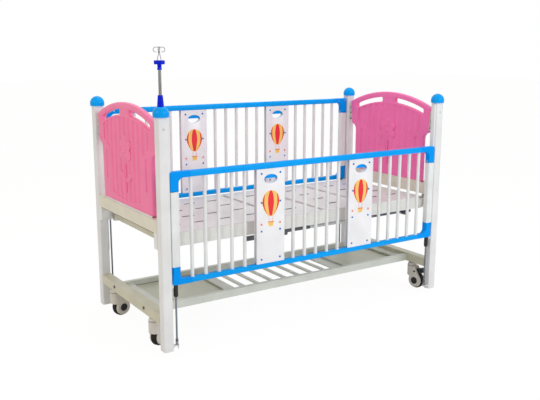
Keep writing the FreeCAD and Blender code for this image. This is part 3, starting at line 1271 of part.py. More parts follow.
def make_pole_head():
    """T-shaped head that holds the hook wires."""
    stem = cylinder(HEAD_STEM_R, vec(0, 0, POLE_TOP_Z), Z_AXIS, HEAD_STEM_HEIGHT)
    disc = cylinder(HEAD_DISC_R, vec(0, 0, POLE_TOP_Z + HEAD_STEM_HEIGHT), Z_AXIS, HEAD_DISC_HEIGHT)
    disc = disc.makeChamfer(HEAD_DISC_BEVEL, [edge for edge in disc.Edges
                                              if edge.BoundBox.ZLength < 1e-6])
    socket = cylinder(POLE_R, vec(0, 0, POLE_TOP_Z - 1), Z_AXIS, HEAD_SOCKET + 1)
    return fused([stem, disc]).cut(socket)


def make_hooks():
    """Two wire legs that meet in a knot, and the hooks above it."""
    parts = []
    for side in (-1, 1):
        foot = vec(side * WIRE_FOOT_X, 0, HEAD_TOP_Z)
        leg = vec(0, 0, KNOT_Z) - foot
        parts.append(cylinder(WIRE_R, foot, leg, leg.Length + WIRE_R))
    parts.append(cylinder(KNOT_R, vec(0, 0, KNOT_Z), Z_AXIS, KNOT_HEIGHT))
    parts.append(cylinder(WIRE_R * 1.5, vec(0, 0, KNOT_Z), Z_AXIS, HOOK_POST_HEIGHT))
    for number in range(HOOK_COUNT):
        hook = make_hook()
        hook.rotate(ORIGIN, Z_AXIS, 360 / HOOK_COUNT * number)
        parts.append(hook)
    hooks = fused(parts)
    trim = block((-2 * WIRE_FOOT_X, 2 * WIRE_FOOT_X), (-KNOT_R, KNOT_R),
                 (HEAD_TOP_Z - 2 * WIRE_R, HEAD_TOP_Z))
    hooks = hooks.cut(trim)
    hooks.rotate(ORIGIN, Z_AXIS, HOOK_HEADING)
    return hooks


def make_hook():
    """One hook: an arm from the upright that curls down and back in a round bend."""
    top = KNOT_Z + HOOK_RISE
    bend_x = HOOK_REACH - HOOK_R
    arm = Part.makeLine(vec(0, 0, top), vec(bend_x, 0, top))
    bend = Part.Arc(vec(bend_x, 0, top), vec(HOOK_REACH, 0, top - HOOK_R),
                    vec(bend_x, 0, top - 2 * HOOK_R)).toShape()
    path = Part.Wire([arm, bend])
    corners = [math.radians(360 / WIRE_SIDES * (number + 0.5)) for number in range(WIRE_SIDES + 1)]
    profile = Part.makePolygon([vec(0, WIRE_R * math.cos(a), top + WIRE_R * math.sin(a)) for a in corners])
    return path.makePipeShell([profile], True, False)


# ---------------------------------------------------------------------------------------------
# Nodes
# ---------------------------------------------------------------------------------------------
def make_nodes():
    """Every node's solids by name."""
    nodes = {}
    for corner, sides in CORNERS.items():
        nodes["post_" + corner] = [make_post(*sides)]
    nodes["post_caps"] = [make_post_cap(*sides) for sides in CORNERS.values()]
    nodes["upper_end_beams"] = [make_upper_beam(side) for side in (-1, 1)]
    nodes["lower_end_beams"] = [make_lower_beam(side) for side in (-1, 1)]
    nodes["headboard"] = [make_board(-1)]
    nodes["footboard"] = [make_board(1)]
    nodes["board_bolts"] = make_board_bolts()

    rail = make_rail_nodes()
    for name, solids in rail.items():
        nodes["front_rail_" + name] = solids
        nodes["back_rail_" + name] = as_back_rail(solids)
    nodes["spring_rods"] = make_spring_rods()
    nodes["rod_feet"] = make_rod_feet()

    half_gap = SECTION_GAP / 2
    nodes["deck_frame"] = [make_deck_frame()]
    nodes["deck_brackets"] = make_deck_brackets()
    nodes["back_section"] = [make_back_section()]
    nodes["seat_section"] = [section_pan((BACK_GAP_X + half_gap, THIGH_GAP_X - half_gap), 0)]
    nodes["thigh_section"] = [section_pan((THIGH_GAP_X + half_gap, CALF_GAP_X - half_gap), 0)]
    nodes["calf_section"] = [section_pan((CALF_GAP_X + half_gap, DECK_HALF_LENGTH), 0)]
    nodes["push_rod"] = [make_push_rod()]
    nodes["crank_spindle"] = [make_crank_spindle()]
    nodes["crank_grip"] = [make_crank_grip()]
    nodes["crank_bearing"] = [make_crank_bearing()]

    nodes["shelf_rails"] = make_shelf_rails()
    nodes["shelf_trays"] = make_shelf_trays()
    nodes["shelf_slats"] = make_shelf_slats()

    stem, housing, axle = make_castor_stem(), make_housing(), make_axle()
    wheel, pedal = make_wheel(), make_pedal()
    nodes["castor_stems"] = [placed_castor_piece([stem], corner)[0] for corner in CORNERS]
    for corner in CORNERS:
        nodes["castor_housing_" + corner] = placed_castor_piece([housing, axle], corner)
        nodes["castor_wheel_" + corner] = placed_castor_piece(wheel, corner)
        nodes["castor_pedal_" + corner] = placed_castor_piece([pedal], corner)

    side_x, side_y = CORNERS["head_front"]
    for name, shape in (("pole_collar", make_collar()), ("infusion_pole", make_pole()),
                        ("pole_head", make_pole_head()), ("pole_hooks", make_hooks())):
        shape.translate(vec(side_x * POST_X, side_y * POST_Y, 0))
        nodes[name] = [shape]
    return nodes


def main():
    os.makedirs("parts", exist_ok=True)
    for name, solids in make_nodes().items():
        shape = solids[0] if len(solids) == 1 else Part.makeCompound(solids)
        shape.exportStep(os.path.join("parts", name + ".step"))


if __name__ == "__main__":
    main()
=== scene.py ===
"""Children's hospital cot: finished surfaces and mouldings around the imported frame.

All lengths are in metres, in the frame's own axes: X along the cot with the head end at -X, Y across it
with the lowered side rail at -Y, and Z up from the floor.
"""

import logging
import math
from collections.abc import Callable, Iterable, Sequence
from dataclasses import dataclass, field
from enum import Enum

import bpy
from mathutils import Matrix, Vector


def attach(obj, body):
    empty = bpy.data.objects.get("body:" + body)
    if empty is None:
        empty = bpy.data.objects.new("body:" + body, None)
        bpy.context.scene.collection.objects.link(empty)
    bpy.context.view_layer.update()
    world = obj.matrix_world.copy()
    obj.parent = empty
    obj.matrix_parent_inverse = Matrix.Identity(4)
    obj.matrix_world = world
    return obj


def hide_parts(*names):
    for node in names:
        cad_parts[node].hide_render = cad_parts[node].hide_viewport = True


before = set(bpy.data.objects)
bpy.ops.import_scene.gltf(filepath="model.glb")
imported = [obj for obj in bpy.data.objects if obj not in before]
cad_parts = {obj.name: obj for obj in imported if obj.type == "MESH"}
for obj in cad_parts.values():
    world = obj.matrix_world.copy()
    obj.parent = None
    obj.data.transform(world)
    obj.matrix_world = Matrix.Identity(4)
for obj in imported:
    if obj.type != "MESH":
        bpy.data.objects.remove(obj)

log = logging.getLogger("cot")

MM = 0.001
SIDES = (-1, 1)
CORNERS = ("head_front", "head_back", "foot_front", "foot_back")
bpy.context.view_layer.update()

Colour = tuple[float, float, float]
Point = tuple[float, float]
Place = tuple[float, float, float]
Corner = tuple[float, float, float]
Piece = bpy.types.Object
Socket = bpy.types.NodeSocket


# ---------------------------------------------------------------------------------------------
# Finishes
# ---------------------------------------------------------------------------------------------
def linear(colour: Colour) -> tuple[float, float, float, float]:
    """Turn a display colour into the scene's linear colour.

    Args:
        colour: red, green and blue from 0 to 1, as a screen shows them.

    Returns:
        Linear red, green and blue, with an alpha of 1.
    """
    channels = [c / 12.92 if c <= 0.04045 else ((c + 0.055) / 1.055) ** 2.4 for c in colour]
    return (channels[0], channels[1], channels[2], 1.0)


def shade(colour: Colour, factor: float) -> Colour:
    """Lighten or darken a display colour by a factor."""
    return tuple(min(1.0, c * factor) for c in colour)


class NodeGraph:
    """A new material's node tree, with short ways to add and join nodes."""

    def __init__(self, name: str) -> None:
        """Start a material that holds a Principled shader and the object's coordinates.

        Args:
            name: the material's name.
        """
        self.material = bpy.data.materials.new(name)
        self.material.use_nodes = True
        self.nodes = self.material.node_tree.nodes
        self.shader = self.nodes["Principled BSDF"]
        self.place = self.nodes.new("ShaderNodeTexCoord")

    def add(self, kind: str, **inputs: object) -> bpy.types.Node:
        """Add a node and set its inputs.

        Args:
            kind: the node's type name.
            inputs: values of its inputs, with an underscore for each space in a name.

        Returns:
            The new node.
        """
        node = self.nodes.new(kind)
        for key, value in inputs.items():
            node.inputs[key.replace("_", " ")].default_value = value
        return node

    def link(self, source: Socket, target: Socket) -> None:
        """Join an output to an input."""
        self.material.node_tree.links.new(source, target)

    def noise(self, scale: float, detail: float, stretch: Colour) -> Socket:
        """Add a noise pattern fixed to the object.

        Args:
            scale: pattern cells in a metre.
            detail: octaves of finer noise.
            stretch: factors on the pattern along X, Y and Z.

        Returns:
            The noise value's output.
        """
        mapping = self.add("ShaderNodeMapping", Scale=stretch)
        self.link(self.place.outputs["Object"], mapping.inputs["Vector"])
        texture = self.add("ShaderNodeTexNoise", Scale=scale, Detail=detail)
        self.link(mapping.outputs["Vector"], texture.inputs["Vector"])
        return texture.outputs["Fac"]

    def blend(self, factor: Socket, low: Colour, high: Colour) -> Socket:
        """Mix two display colours by a pattern.

        Args:
            factor: the pattern's output.
            low: colour where the pattern is low.
            high: colour where it is high.

        Returns:
            The mixed colour's output.
        """
        ramp = self.add("ShaderNodeValToRGB")
        for stop, position, colour in zip(ramp.color_ramp.elements, (0.3, 0.7), (low, high)):
            stop.position = position
            stop.color = linear(colour)
        self.link(factor, ramp.inputs["Fac"])
        return ramp.outputs["Color"]

    def spread(self, factor: Socket, low: float, high: float) -> Socket:
        """Map a pattern onto a range of numbers.

        Args:
            factor: the pattern's output.
            low: number where the pattern is 0.
            high: number where it is 1.

        Returns:
            The mapped number's output.
        """
        span = self.add("ShaderNodeMapRange", To_Min=low, To_Max=high)
        self.link(factor, span.inputs["Value"])
        return span.outputs["Result"]

    def bump(self, height: Socket, distance: float) -> None:
        """Raise the surface by a pattern.

        Args:
            height: the pattern's output.
            distance: the most that it rises.
        """
        node = self.add("ShaderNodeBump", Distance=distance, Strength=1.0)
        self.link(height, node.inputs["Height"])
        self.link(node.outputs["Normal"], self.shader.inputs["Normal"])


@dataclass(frozen=True)
class Finish:
    """A surface finish: a colour with its variation, its gloss and its fine relief."""

    name: str
    colour: Colour
    roughness: float = 0.35
    metallic: float = 0.0
    coat: float = 0.0
    mottle: float = 0.025
    mottle_scale: float = 9.0
    relief: float = 0.02 * MM
    relief_scale: float = 700.0
    stretch: Colour = (1.0, 1.0, 1.0)
    specular: float = 0.5
    gloss_spread: float = 0.12
    coat_roughness: float = 0.12

    def material(self) -> bpy.types.Material:
        """Build the node material, or find the one built before.

        Returns:
            The material.
        """
        made = bpy.data.materials.get(self.name)
        if made is not None:
            return made
        graph = NodeGraph(self.name)
        broad = graph.noise(self.mottle_scale, 4.0, self.stretch)
        tone = graph.blend(broad, shade(self.colour, 1 - self.mottle), shade(self.colour, 1 + self.mottle))
        fine = graph.noise(self.relief_scale, 2.0, self.stretch)
        spread = self.roughness * self.gloss_spread
        gloss = graph.spread(fine, self.roughness - spread, self.roughness + spread)
        inputs = graph.shader.inputs
        graph.link(tone, inputs["Base Color"])
        graph.link(gloss, inputs["Roughness"])
        graph.bump(fine, self.relief)
        inputs["Metallic"].default_value = self.metallic
        inputs["Coat Weight"].default_value = self.coat
        inputs["Coat Roughness"].default_value = self.coat_roughness
        inputs["Specular IOR Level"].default_value = self.specular
        return graph.material


def enamel(name: str, colour: Colour, roughness: float, coat: float = 0.15) -> Finish:
    """Sprayed enamel, with the faint waves that it dries with."""
    return Finish(name, colour, roughness, coat=coat, relief=0.03 * MM)


POST_ENAMEL = enamel("post_enamel", (0.905, 0.907, 0.915), 0.30, 0.2)
FRAME_ENAMEL = enamel("frame_enamel", (0.885, 0.865, 0.795), 0.34)
# Painted shade: a darker copy of the frame enamel, for the lower end beams and the deck frame's end plates,
# where shade falls.
SHADED_FRAME_ENAMEL = enamel("shaded_frame_enamel", (0.80, 0.785, 0.695), 0.36)
# Painted shade: a darker, more olive copy of the shelf enamel, for the trays in the deck's shade.
SHADED_TRAY_ENAMEL = enamel("shaded_tray_enamel", (0.785, 0.79, 0.72), 0.38, 0.1)
SHELF_ENAMEL = enamel("shelf_enamel", (0.855, 0.865, 0.83), 0.36, 0.1)
SUPPORT_ENAMEL = enamel("deck_support_enamel", (0.925, 0.925, 0.905), 0.34)
DECK_ENAMEL = enamel("deck_enamel", (0.87, 0.87, 0.875), 0.34)
BAR_ENAMEL = Finish("bar_enamel", (0.905, 0.915, 0.92), 0.28, coat=0.25)
RAIL_BLUE = Finish("rail_blue", (0.0, 0.635, 0.975), 0.30, specular=0.10)
CORNER_BLUE = Finish("corner_blue", (0.0, 0.60, 0.985), 0.34, specular=0.06)
CAP_BLUE = Finish("cap_blue", (0.0, 0.63, 0.965), 0.20, specular=0.12)
SCREW_BLUE = Finish("screw_cap_blue", (0.08, 0.46, 0.78), 0.35, specular=0.3)
ROYAL_BLUE = Finish("royal_blue", (0.0, 0.12, 0.82), 0.20, specular=0.12)
HEAD_PINK = Finish("headboard_pink", (0.985, 0.485, 0.675), 0.34, specular=0.40, relief=0.05 * MM)
FOOT_PINK = Finish("footboard_pink", (1.0, 0.46, 0.72), 0.34, specular=0.40, relief=0.05 * MM)
PANEL_WHITE = Finish("panel_white", (0.945, 0.945, 0.965), 0.27, coat=0.3)
PRINT_AMBER = Finish("print_amber", (0.99, 0.80, 0.42))
PRINT_RED = Finish("print_red", (0.94, 0.13, 0.20))
PRINT_ORANGE = Finish("print_orange", (0.94, 0.50, 0.26))
CASTOR_GREY = Finish("castor_grey", (0.855, 0.83, 0.80), 0.38, relief=0.06 * MM, relief_scale=1500)
SOFT_BLACK = Finish("soft_black", (0.075, 0.075, 0.085), 0.5, mottle=0.12, relief=0.06 * MM,
                    relief_scale=1500)
PEDAL_BLACK = Finish("pedal_black", (0.10, 0.125, 0.155), 0.45)
# Dark brown: the bearing washer's own colour, and on the race under each castor cup a painted shadow of the
# seam.
RING_AND_SEAM_SHADOW = Finish("bearing_ring_and_seam_shadow", (0.28, 0.22, 0.17), 0.5)
# Painted shade: the dark vent rims stand for the shade inside the deck's vent slots.
PAINTED_VENT_SHADE = Finish("painted_vent_shade", (0.17, 0.17, 0.18), 0.55, mottle=0.1)
# Painted shade: dark strips that stand for the shadow in the gap under each upper beam and in the creases
# round the trays.
PAINTED_GAP_SHADE = Finish("painted_gap_shade", (0.30, 0.28, 0.22), 0.6, mottle=0.1)
ZINC = Finish("zinc", (0.88, 0.88, 0.88), 0.35, 0.7, mottle=0.05)
HUB_BLACK = Finish("hub_black", (0.07, 0.07, 0.11), 0.4, mottle=0.1)
TYRE_BLACK = Finish("tyre_black", (0.10, 0.09, 0.09), 0.72, mottle=0.15, relief=0.12 * MM, relief_scale=900,
                    specular=0.35)
DARK_STEEL = Finish("dark_steel", (0.22, 0.22, 0.25), 0.38, 0.6, mottle=0.08)
ROD_STEEL = Finish("rod_steel", (0.52, 0.54, 0.59), 0.26, 1.0, mottle=0.06, stretch=(1.0, 1.0, 0.05))
POLE_STEEL = Finish("pole_steel", (0.58, 0.57, 0.56), 0.20, 1.0, mottle=0.05, stretch=(1.0, 1.0, 0.04))
PLUG_GREY = Finish("plug_grey", (0.80, 0.80, 0.82), 0.4)
SCREW_STEEL = Finish("screw_steel", (0.66, 0.66, 0.68), 0.30, 1.0, mottle=0.08)
KNOT_BRASS = Finish("knot_brass", (0.72, 0.55, 0.38), 0.3, 0.9, mottle=0.08)


# ---------------------------------------------------------------------------------------------
# Outlines
# ---------------------------------------------------------------------------------------------
def arc(centre: Point, radius: float, start: float, end: float, steps: int) -> list[Point]:
    """Points along an arc, both ends included, with angles in degrees."""
    angles = [math.radians(start + (end - start) * n / steps) for n in range(steps + 1)]
    return [(centre[0] + radius * math.cos(a), centre[1] + radius * math.sin(a)) for a in angles]


def ellipse(centre: Point, half_width: float, half_height: float, steps: int) -> list[Point]:
    """Points round an ellipse."""
    angles = [2 * math.pi * n / steps for n in range(steps)]
    return [(centre[0] + half_width * math.cos(a), centre[1] + half_height * math.sin(a)) for a in angles]


def star(centre: Point, size: float) -> list[Point]:
    """Five-pointed star with blunt points."""
    spokes = [(size if n % 2 == 0 else size / 2, math.radians(90 + 36 * n)) for n in range(10)]
    return [(centre[0] + reach * math.cos(a), centre[1] + reach * math.sin(a)) for reach, a in spokes]


def eased(share: float) -> float:
    """Smooth step from 0 to 1."""
    return 3 * share * share - 2 * share ** 3


def bow_radius(half: float, rise: float) -> float:
    """Radius of the bow over a chord, from half the chord and the bow's rise."""
    return (half ** 2 + rise ** 2) / (2 * rise)


def sharp(points: Iterable[Point]) -> list[Corner]:
    """Corners that keep their point, for an outline that has rounded ones too."""
    return [(x, y, 0.0) for x, y in points]


def box(left: float, right: float, low: float, high: float, radius: float, steps: int) -> list[Point]:
    """Closed outline of a rectangle whose corners are rounded."""
    corners = [(left, low, radius), (right, low, radius), (right, high, radius), (left, high, radius)]
    return rounded(corners, steps)


def both_sides(points: Sequence[Point]) -> list[Point]:
    """Complete an outline, given down its left-hand side, with its right-hand side."""
    return list(points) + [(-x, y) for x, y in reversed(points)]


def rounded(corners: Sequence[Corner], steps: int = 6) -> list[Point]:
    """Closed outline whose corners are rounded.

    Args:
        corners: each corner's two coordinates and its radius.
        steps: straight pieces in each rounded corner.

    Returns:
        The outline's points.
    """
    points: list[Point] = []
    count = len(corners)
    for number, (x, y, radius) in enumerate(corners):
        if radius <= 0:
            points.append((x, y))
            continue
        here = Vector((x, y))
        back = (Vector(corners[number - 1][:2]) - here).normalized()
        ahead = (Vector(corners[(number + 1) % count][:2]) - here).normalized()
        half_angle = back.angle(ahead) / 2
        centre = here + (back + ahead).normalized() * (radius / math.sin(half_angle))
        start = here + back * (radius / math.tan(half_angle)) - centre
        turn = start.angle_signed(here + ahead * (radius / math.tan(half_angle)) - centre)
        for step in range(steps + 1):
            spoke = start.copy()
            spoke.rotate(Matrix.Rotation(-turn * step / steps, 2))
            points.append(tuple(centre + spoke))
    return points


def turned(points: Sequence[Point], centre: Point, angle: float) -> list[Point]:
    """Turn points about a centre, by an angle in degrees."""
    c, n = math.cos(math.radians(angle)), math.sin(math.radians(angle))
    return [(centre[0] + (x - centre[0]) * c - (y - centre[1]) * n,
             centre[1] + (x - centre[0]) * n + (y - centre[1]) * c) for x, y in points]


def collar_profile(inner: float, outer: float, low: float, high: float, edge: float) -> list[Point]:
    """Closed profile of a tube or ring whose outer edges are chamfered."""
    return [(inner, low), (outer - edge, low), (outer, low + edge), (outer, high - edge),
            (outer - edge, high), (inner, high), (inner, low)]


# ---------------------------------------------------------------------------------------------
# Modelling
# ---------------------------------------------------------------------------------------------
class Plane(Enum):
    """The plane that an outline is drawn in, with the matrix that stands it there."""

    END = Matrix(((0, 0, 1, 0), (1, 0, 0, 0), (0, 1, 0, 0), (0, 0, 0, 1)))
    SIDE = Matrix(((1, 0, 0, 0), (0, 0, -1, 0), (0, 1, 0, 0), (0, 0, 0, 1)))
    FLAT = Matrix.Identity(4)


class Cut(Enum):
    """How one solid works on another."""

    TAKE_AWAY = "DIFFERENCE"
    KEEP_SHARED = "INTERSECT"
    JOIN = "UNION"


def moved(x: float, y: float, z: float) -> Matrix:
    """A plain move."""
    return Matrix.Translation((x, y, z))


def spin(angle: float, axis: str) -> Matrix:
    """A turn about an axis through the origin, in degrees."""
    return Matrix.Rotation(math.radians(angle), 4, axis)


class Bench:
    """Makes, shapes and joins meshes with Blender's own operators."""

    @staticmethod
    def clear_selection() -> None:
        """Deselect every object."""
        bpy.ops.object.select_all(action="DESELECT")

    @staticmethod
    def hold(piece: Piece) -> None:
        """Make one object the only one selected, and active.

        Args:
            piece: the object.
        """
        Bench.clear_selection()
        piece.select_set(True)
        bpy.context.view_layer.objects.active = piece

    @staticmethod
    def settle(piece: Piece) -> Piece:
        """Move an object's place into its mesh.

        Args:
            piece: the object.

        Returns:
            The same object, at the origin.
        """
        Bench.hold(piece)
        bpy.ops.object.transform_apply(location=True, rotation=True, scale=True)
        return piece

    @staticmethod
    def close_up(piece: Piece, gap: float = 0.002 * MM) -> Piece:
        """Merge doubled points and point all faces outwards.

        Args:
            piece: the object.
            gap: points nearer than this become one.

        Returns:
            The same object.
        """
        Bench.hold(piece)
        bpy.ops.object.mode_set(mode="EDIT")
        bpy.ops.mesh.select_all(action="SELECT")
        bpy.ops.mesh.remove_doubles(threshold=gap)
        bpy.ops.mesh.normals_make_consistent(inside=False)
        bpy.ops.object.mode_set(mode="OBJECT")
        return piece

    @staticmethod
    def block(name: str, low: Sequence[float], high: Sequence[float]) -> Piece:
        """Add a box between two corners.

        Args:
            name: the new object's name.
            low: one corner.
            high: the opposite corner.

        Returns:
            The box.
        """
        Bench.clear_selection()
        bpy.ops.mesh.primitive_cube_add(size=1.0, location=[(a + b) / 2 for a, b in zip(low, high)])
        piece = bpy.context.active_object
        piece.name = name
        piece.scale = [abs(b - a) for a, b in zip(low, high)]
        return Bench.settle(piece)

    @staticmethod
    def rod(name: str, start: Sequence[float], end: Sequence[float], radius: float, sides: int = 32) -> Piece:
        """Add a cylinder between two points.

        Args:
            name: the new object's name.
            start: centre of the first end.
            end: centre of the last end.
            radius: the cylinder's radius.
            sides: number of flat sides.

        Returns:
            The cylinder.
        """
        first, last = Vector(start), Vector(end)
        along = last - first
        Bench.clear_selection()
        bpy.ops.mesh.primitive_cone_add(vertices=sides, radius1=radius, radius2=radius, depth=along.length,
                                        location=(first + last) / 2)
        piece = bpy.context.active_object
        piece.name = name
        piece.rotation_euler = along.to_track_quat("Z", "Y").to_euler()
        return Bench.settle(piece)

    @staticmethod
    def ball(name: str, centre: Sequence[float], radius: float, sides: int) -> Piece:
        """Add a ball.

        Args:
            name: the new object's name.
            centre: its middle.
            radius: its radius.
            sides: number of faces round it.

        Returns:
            The ball.
        """
        Bench.clear_selection()
        bpy.ops.mesh.primitive_uv_sphere_add(segments=sides, ring_count=sides // 2, radius=radius,
                                             location=centre)
        bpy.context.active_object.name = name
        return Bench.settle(bpy.context.active_object)

    @staticmethod
    def line(curve: bpy.types.Curve, points: Sequence[Sequence[float]], closed: bool = False,
             smooth: bool = False) -> None:
        """Add a line to a curve.

        Args:
            curve: the curve that gets it.
            points: its points, with three coordinates each.
            closed: whether it runs back to its start.
            smooth: whether it curves smoothly between the points.
        """
        spline = curve.splines.new("NURBS" if smooth else "POLY")
        spline.points.add(len(points) - 1)
        for point, place in zip(spline.points, points):
            point.co = (*place, 1.0)
        spline.use_cyclic_u = closed
        if smooth:
            spline.order_u = 3
            spline.use_endpoint_u = not closed
            spline.resolution_u = 6

    @staticmethod
    def meshed(name: str, curve: bpy.types.Curve) -> Piece:
        """Turn a curve into a mesh.

        Args:
            name: the new object's name.
            curve: the curve.

        Returns:
            The mesh's object.
        """
        piece = bpy.data.objects.new(name, curve)
        bpy.context.scene.collection.objects.link(piece)
        Bench.hold(piece)
        bpy.ops.object.convert(target="MESH")
        return bpy.context.active_object

    @staticmethod
    def plate(name: str, outlines: Sequence[Sequence[Point]], plane: Plane, middle: float, thickness: float,
              edge: float, edge_steps: int = 2) -> Piece:
        """Cut a plate with rounded edges from closed outlines, where an inner outline is a hole.

        Args:
            name: the new object's name.
            outlines: closed outlines, in the plane's own two coordinates.
            plane: the plane that they are drawn in.
            middle: place of the plate's middle along the plane's normal.
            thickness: the plate's thickness.
            edge: radius of its rounded edges.
            edge_steps: steps in that rounding.

        Returns:
            The plate as a mesh, in its place.
        """
        curve = bpy.data.curves.new(name, "CURVE")
        curve.dimensions = "2D"
        curve.fill_mode = "BOTH"
        for outline in outlines:
            Bench.line(curve, sharp(outline), closed=True)
        curve.extrude = thickness / 2 - edge
        curve.bevel_depth = edge
        curve.bevel_resolution = edge_steps
        curve.offset = -edge
        piece = Bench.meshed(name, curve)
        sign = -1.0 if plane is Plane.SIDE else 1.0
        piece.matrix_world = plane.value @ moved(0.0, 0.0, sign * middle)
        return Bench.close_up(Bench.settle(piece))

    @staticmethod
    def spun(name: str, profile: Sequence[Point], steps: int = 48) -> Piece:
        """Turn a profile of (radius, height) points about the Z axis.

        Args:
            name: the new object's name.
            profile: points from one end to the other, on the axis or back at the start.
            steps: number of steps round.

        Returns:
            The turned shape, about the origin.
        """
        curve = bpy.data.curves.new(name, "CURVE")
        curve.dimensions = "3D"
        Bench.line(curve, [(radius, 0.0, height) for radius, height in profile])
        piece = Bench.meshed(name, curve)
        bpy.ops.object.mode_set(mode="EDIT")
        bpy.ops.mesh.select_all(action="SELECT")
        bpy.ops.mesh.spin(steps=steps, angle=2 * math.pi, center=(0, 0, 0), axis=(0, 0, 1))
        bpy.ops.object.mode_set(mode="OBJECT")
        return Bench.close_up(piece, 0.01 * MM)

    @staticmethod
    def wire(name: str, path: Sequence[Sequence[float]], radius: float, closed: bool = False,
             smooth: bool = False) -> Piece:
        """Make a round wire that follows a path of points.

        Args:
            name: the new object's name.
            path: the points of its centre line.
            radius: the wire's radius.
            closed: whether it runs back to its start.
            smooth: whether it curves smoothly between the points.

        Returns:
            The wire as a mesh.
        """
        curve = bpy.data.curves.new(name, "CURVE")
        curve.dimensions = "3D"
        Bench.line(curve, path, closed, smooth)
        curve.bevel_depth = radius
        curve.bevel_resolution = 3
        curve.use_fill_caps = True
        return Bench.close_up(Bench.meshed(name, curve))

    @staticmethod
    def modify(piece: Piece, kind: str, **settings: object) -> Piece:
        """Put a modifier on an object and apply it.

        Args:
            piece: the object.
            kind: the modifier's type name.
            settings: the modifier's settings.

        Returns:
            The same object.
        """
        modifier = piece.modifiers.new(kind.lower(), kind)
        for key, value in settings.items():
            setattr(modifier, key, value)
        Bench.hold(piece)
        bpy.ops.object.modifier_apply(modifier=modifier.name)
        return piece

    @staticmethod
    def work(piece: Piece, tool: Piece, how: Cut = Cut.TAKE_AWAY) -> Piece:
        """Cut, keep or join with another solid, which is used up.

        Args:
            piece: the solid that is worked on.
            tool: the solid that is used up.
            how: what is done.

        Returns:
            The same piece.
        """
        Bench.modify(piece, "BOOLEAN", operation=how.value, solver="EXACT", object=tool)
        bpy.data.objects.remove(tool)
        return piece

    @staticmethod
    def soften(piece: Piece, width: float, steps: int = 2, angle: float = 40.0) -> Piece:
        """Round every edge that is sharper than an angle in degrees."""
        return Bench.modify(piece, "BEVEL", width=width, segments=steps, limit_method="ANGLE",
                            angle_limit=math.radians(angle), harden_normals=False)

    @staticmethod
    def smooth(piece: Piece, angle: float = 35.0) -> Piece:
        """Shade smoothly, except over edges sharper than an angle.

        Args:
            piece: the object.
            angle: the angle in degrees.

        Returns:
            The same object.
        """
        Bench.hold(piece)
        bpy.ops.object.shade_smooth_by_angle(angle=math.radians(angle))
        return piece

    @staticmethod
    def join(name: str, pieces: Sequence[Piece]) -> Piece:
        """Make several meshes one object.

        Args:
            name: the object's new name.
            pieces: the objects, of which the first keeps the rest.

        Returns:
            The joined object.
        """
        Bench.hold(pieces[0])
        for piece in pieces:
            piece.select_set(True)
        if len(pieces) > 1:
            bpy.ops.object.join()
        pieces[0].name = pieces[0].data.name = name
        return pieces[0]

    @staticmethod
    def copy(piece: Piece, name: str, change: Matrix) -> Piece:
        """Copy an object with a mesh of its own, moved, turned or mirrored.

        Args:
            piece: the object to copy.
            name: the copy's name.
            change: the matrix that takes the piece to the copy's place.

        Returns:
            The copy.
        """
        twin = piece.copy()
        twin.data = piece.data.copy()
        twin.name = twin.data.name = name
        bpy.context.scene.collection.objects.link(twin)
        twin.data.transform(change)
        if change.determinant() < 0:
            twin.data.flip_normals()
        return twin

    @staticmethod
    def repeat(model: Piece, changes: Iterable[Matrix]) -> list[Piece]:
        """Copy a model to several places, and use it up.

        Args:
            model: the object to copy.
            changes: the matrix of each place.

        Returns:
            The copies.
        """
        copies = [Bench.copy(model, "copy", change) for change in changes]
        bpy.data.objects.remove(model)
        return copies

    @staticmethod
    def press(piece: Piece, chosen: Callable[[bpy.types.MeshPolygon], bool], inset: float,
              depth: float) -> Piece:
        """Inset the chosen faces and push what is inside the new border.

        Args:
            piece: the object to shape.
            chosen: says which faces are worked on.
            inset: width of the border.
            depth: how far the inside sinks.

        Returns:
            The same object.
        """
        wall_slope = 0.12
        Bench.hold(piece)
        bpy.ops.object.mode_set(mode="EDIT")
        bpy.ops.mesh.select_mode(type="FACE")
        bpy.ops.mesh.select_all(action="DESELECT")
        bpy.ops.object.mode_set(mode="OBJECT")
        for face in piece.data.polygons:
            face.select = chosen(face)
        bpy.ops.object.mode_set(mode="EDIT")
        bpy.ops.mesh.inset(thickness=inset)
        bpy.ops.mesh.inset(thickness=depth * wall_slope, depth=-depth)
        bpy.ops.object.mode_set(mode="OBJECT")
        return piece

    @staticmethod
    def screw(start: Sequence[float], end: Sequence[float], radius: float, sides: int,
              rounding: tuple[float, int], socket: tuple[float, float]) -> Piece:
        """Make a screw head with a round socket in its end.

        Args:
            start: centre of its seat.
            end: centre of its head's face.
            radius: the head's radius.
            sides: number of flat sides.
            rounding: radius of its edge, and steps in it.
            socket: width of the border round the socket, and the socket's depth.

        Returns:
            The screw head.
        """
        out = (Vector(end) - Vector(start)).normalized()
        head = Bench.soften(Bench.rod("screw", start, end, radius, sides), *rounding, 50)
        return Bench.press(head, lambda face: face.normal.dot(out) > 0.99, *socket)

    @staticmethod
    def place(piece: Piece, change: Matrix) -> Piece:
        """Move or turn an object's mesh."""
        piece.data.transform(change)
        return piece


def dress(piece: Piece, finish: Finish) -> Piece:
    """Give an object one finish all over.

    Args:
        piece: the object.
        finish: its finish.

    Returns:
        The same object.
    """
    piece.data.materials.clear()
    piece.data.materials.append(finish.material())
    return piece


def hand_over(piece: Piece, body: str, replaced: Sequence[str] = ()) -> None:
    """Tell the frame what carries a finished piece.

    Args:
        piece: the finished piece.
        body: the moving body that it rides on.
        replaced: frame nodes that it stands for.
    """
    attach(piece, body)
    if replaced:
        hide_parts(*replaced)
    log.info("%s rides on %s", piece.name, body)


def deliver(name: str, shapes: Sequence[Piece], finish: Finish, replaced: Sequence[str] = (),
            body: str = "frame", angle: float = 35.0) -> None:
    """Make shapes one smooth piece with one finish, and hand it over.

    Args:
        name: the piece's name.
        shapes: the meshes that it is joined from.
        finish: its finish.
        replaced: frame nodes that it stands for.
        body: the body that it rides on.
        angle: edges sharper than this many degrees stay sharp.
    """
    piece = Bench.smooth(Bench.join(name, shapes), angle)
    hand_over(dress(piece, finish), body, replaced)


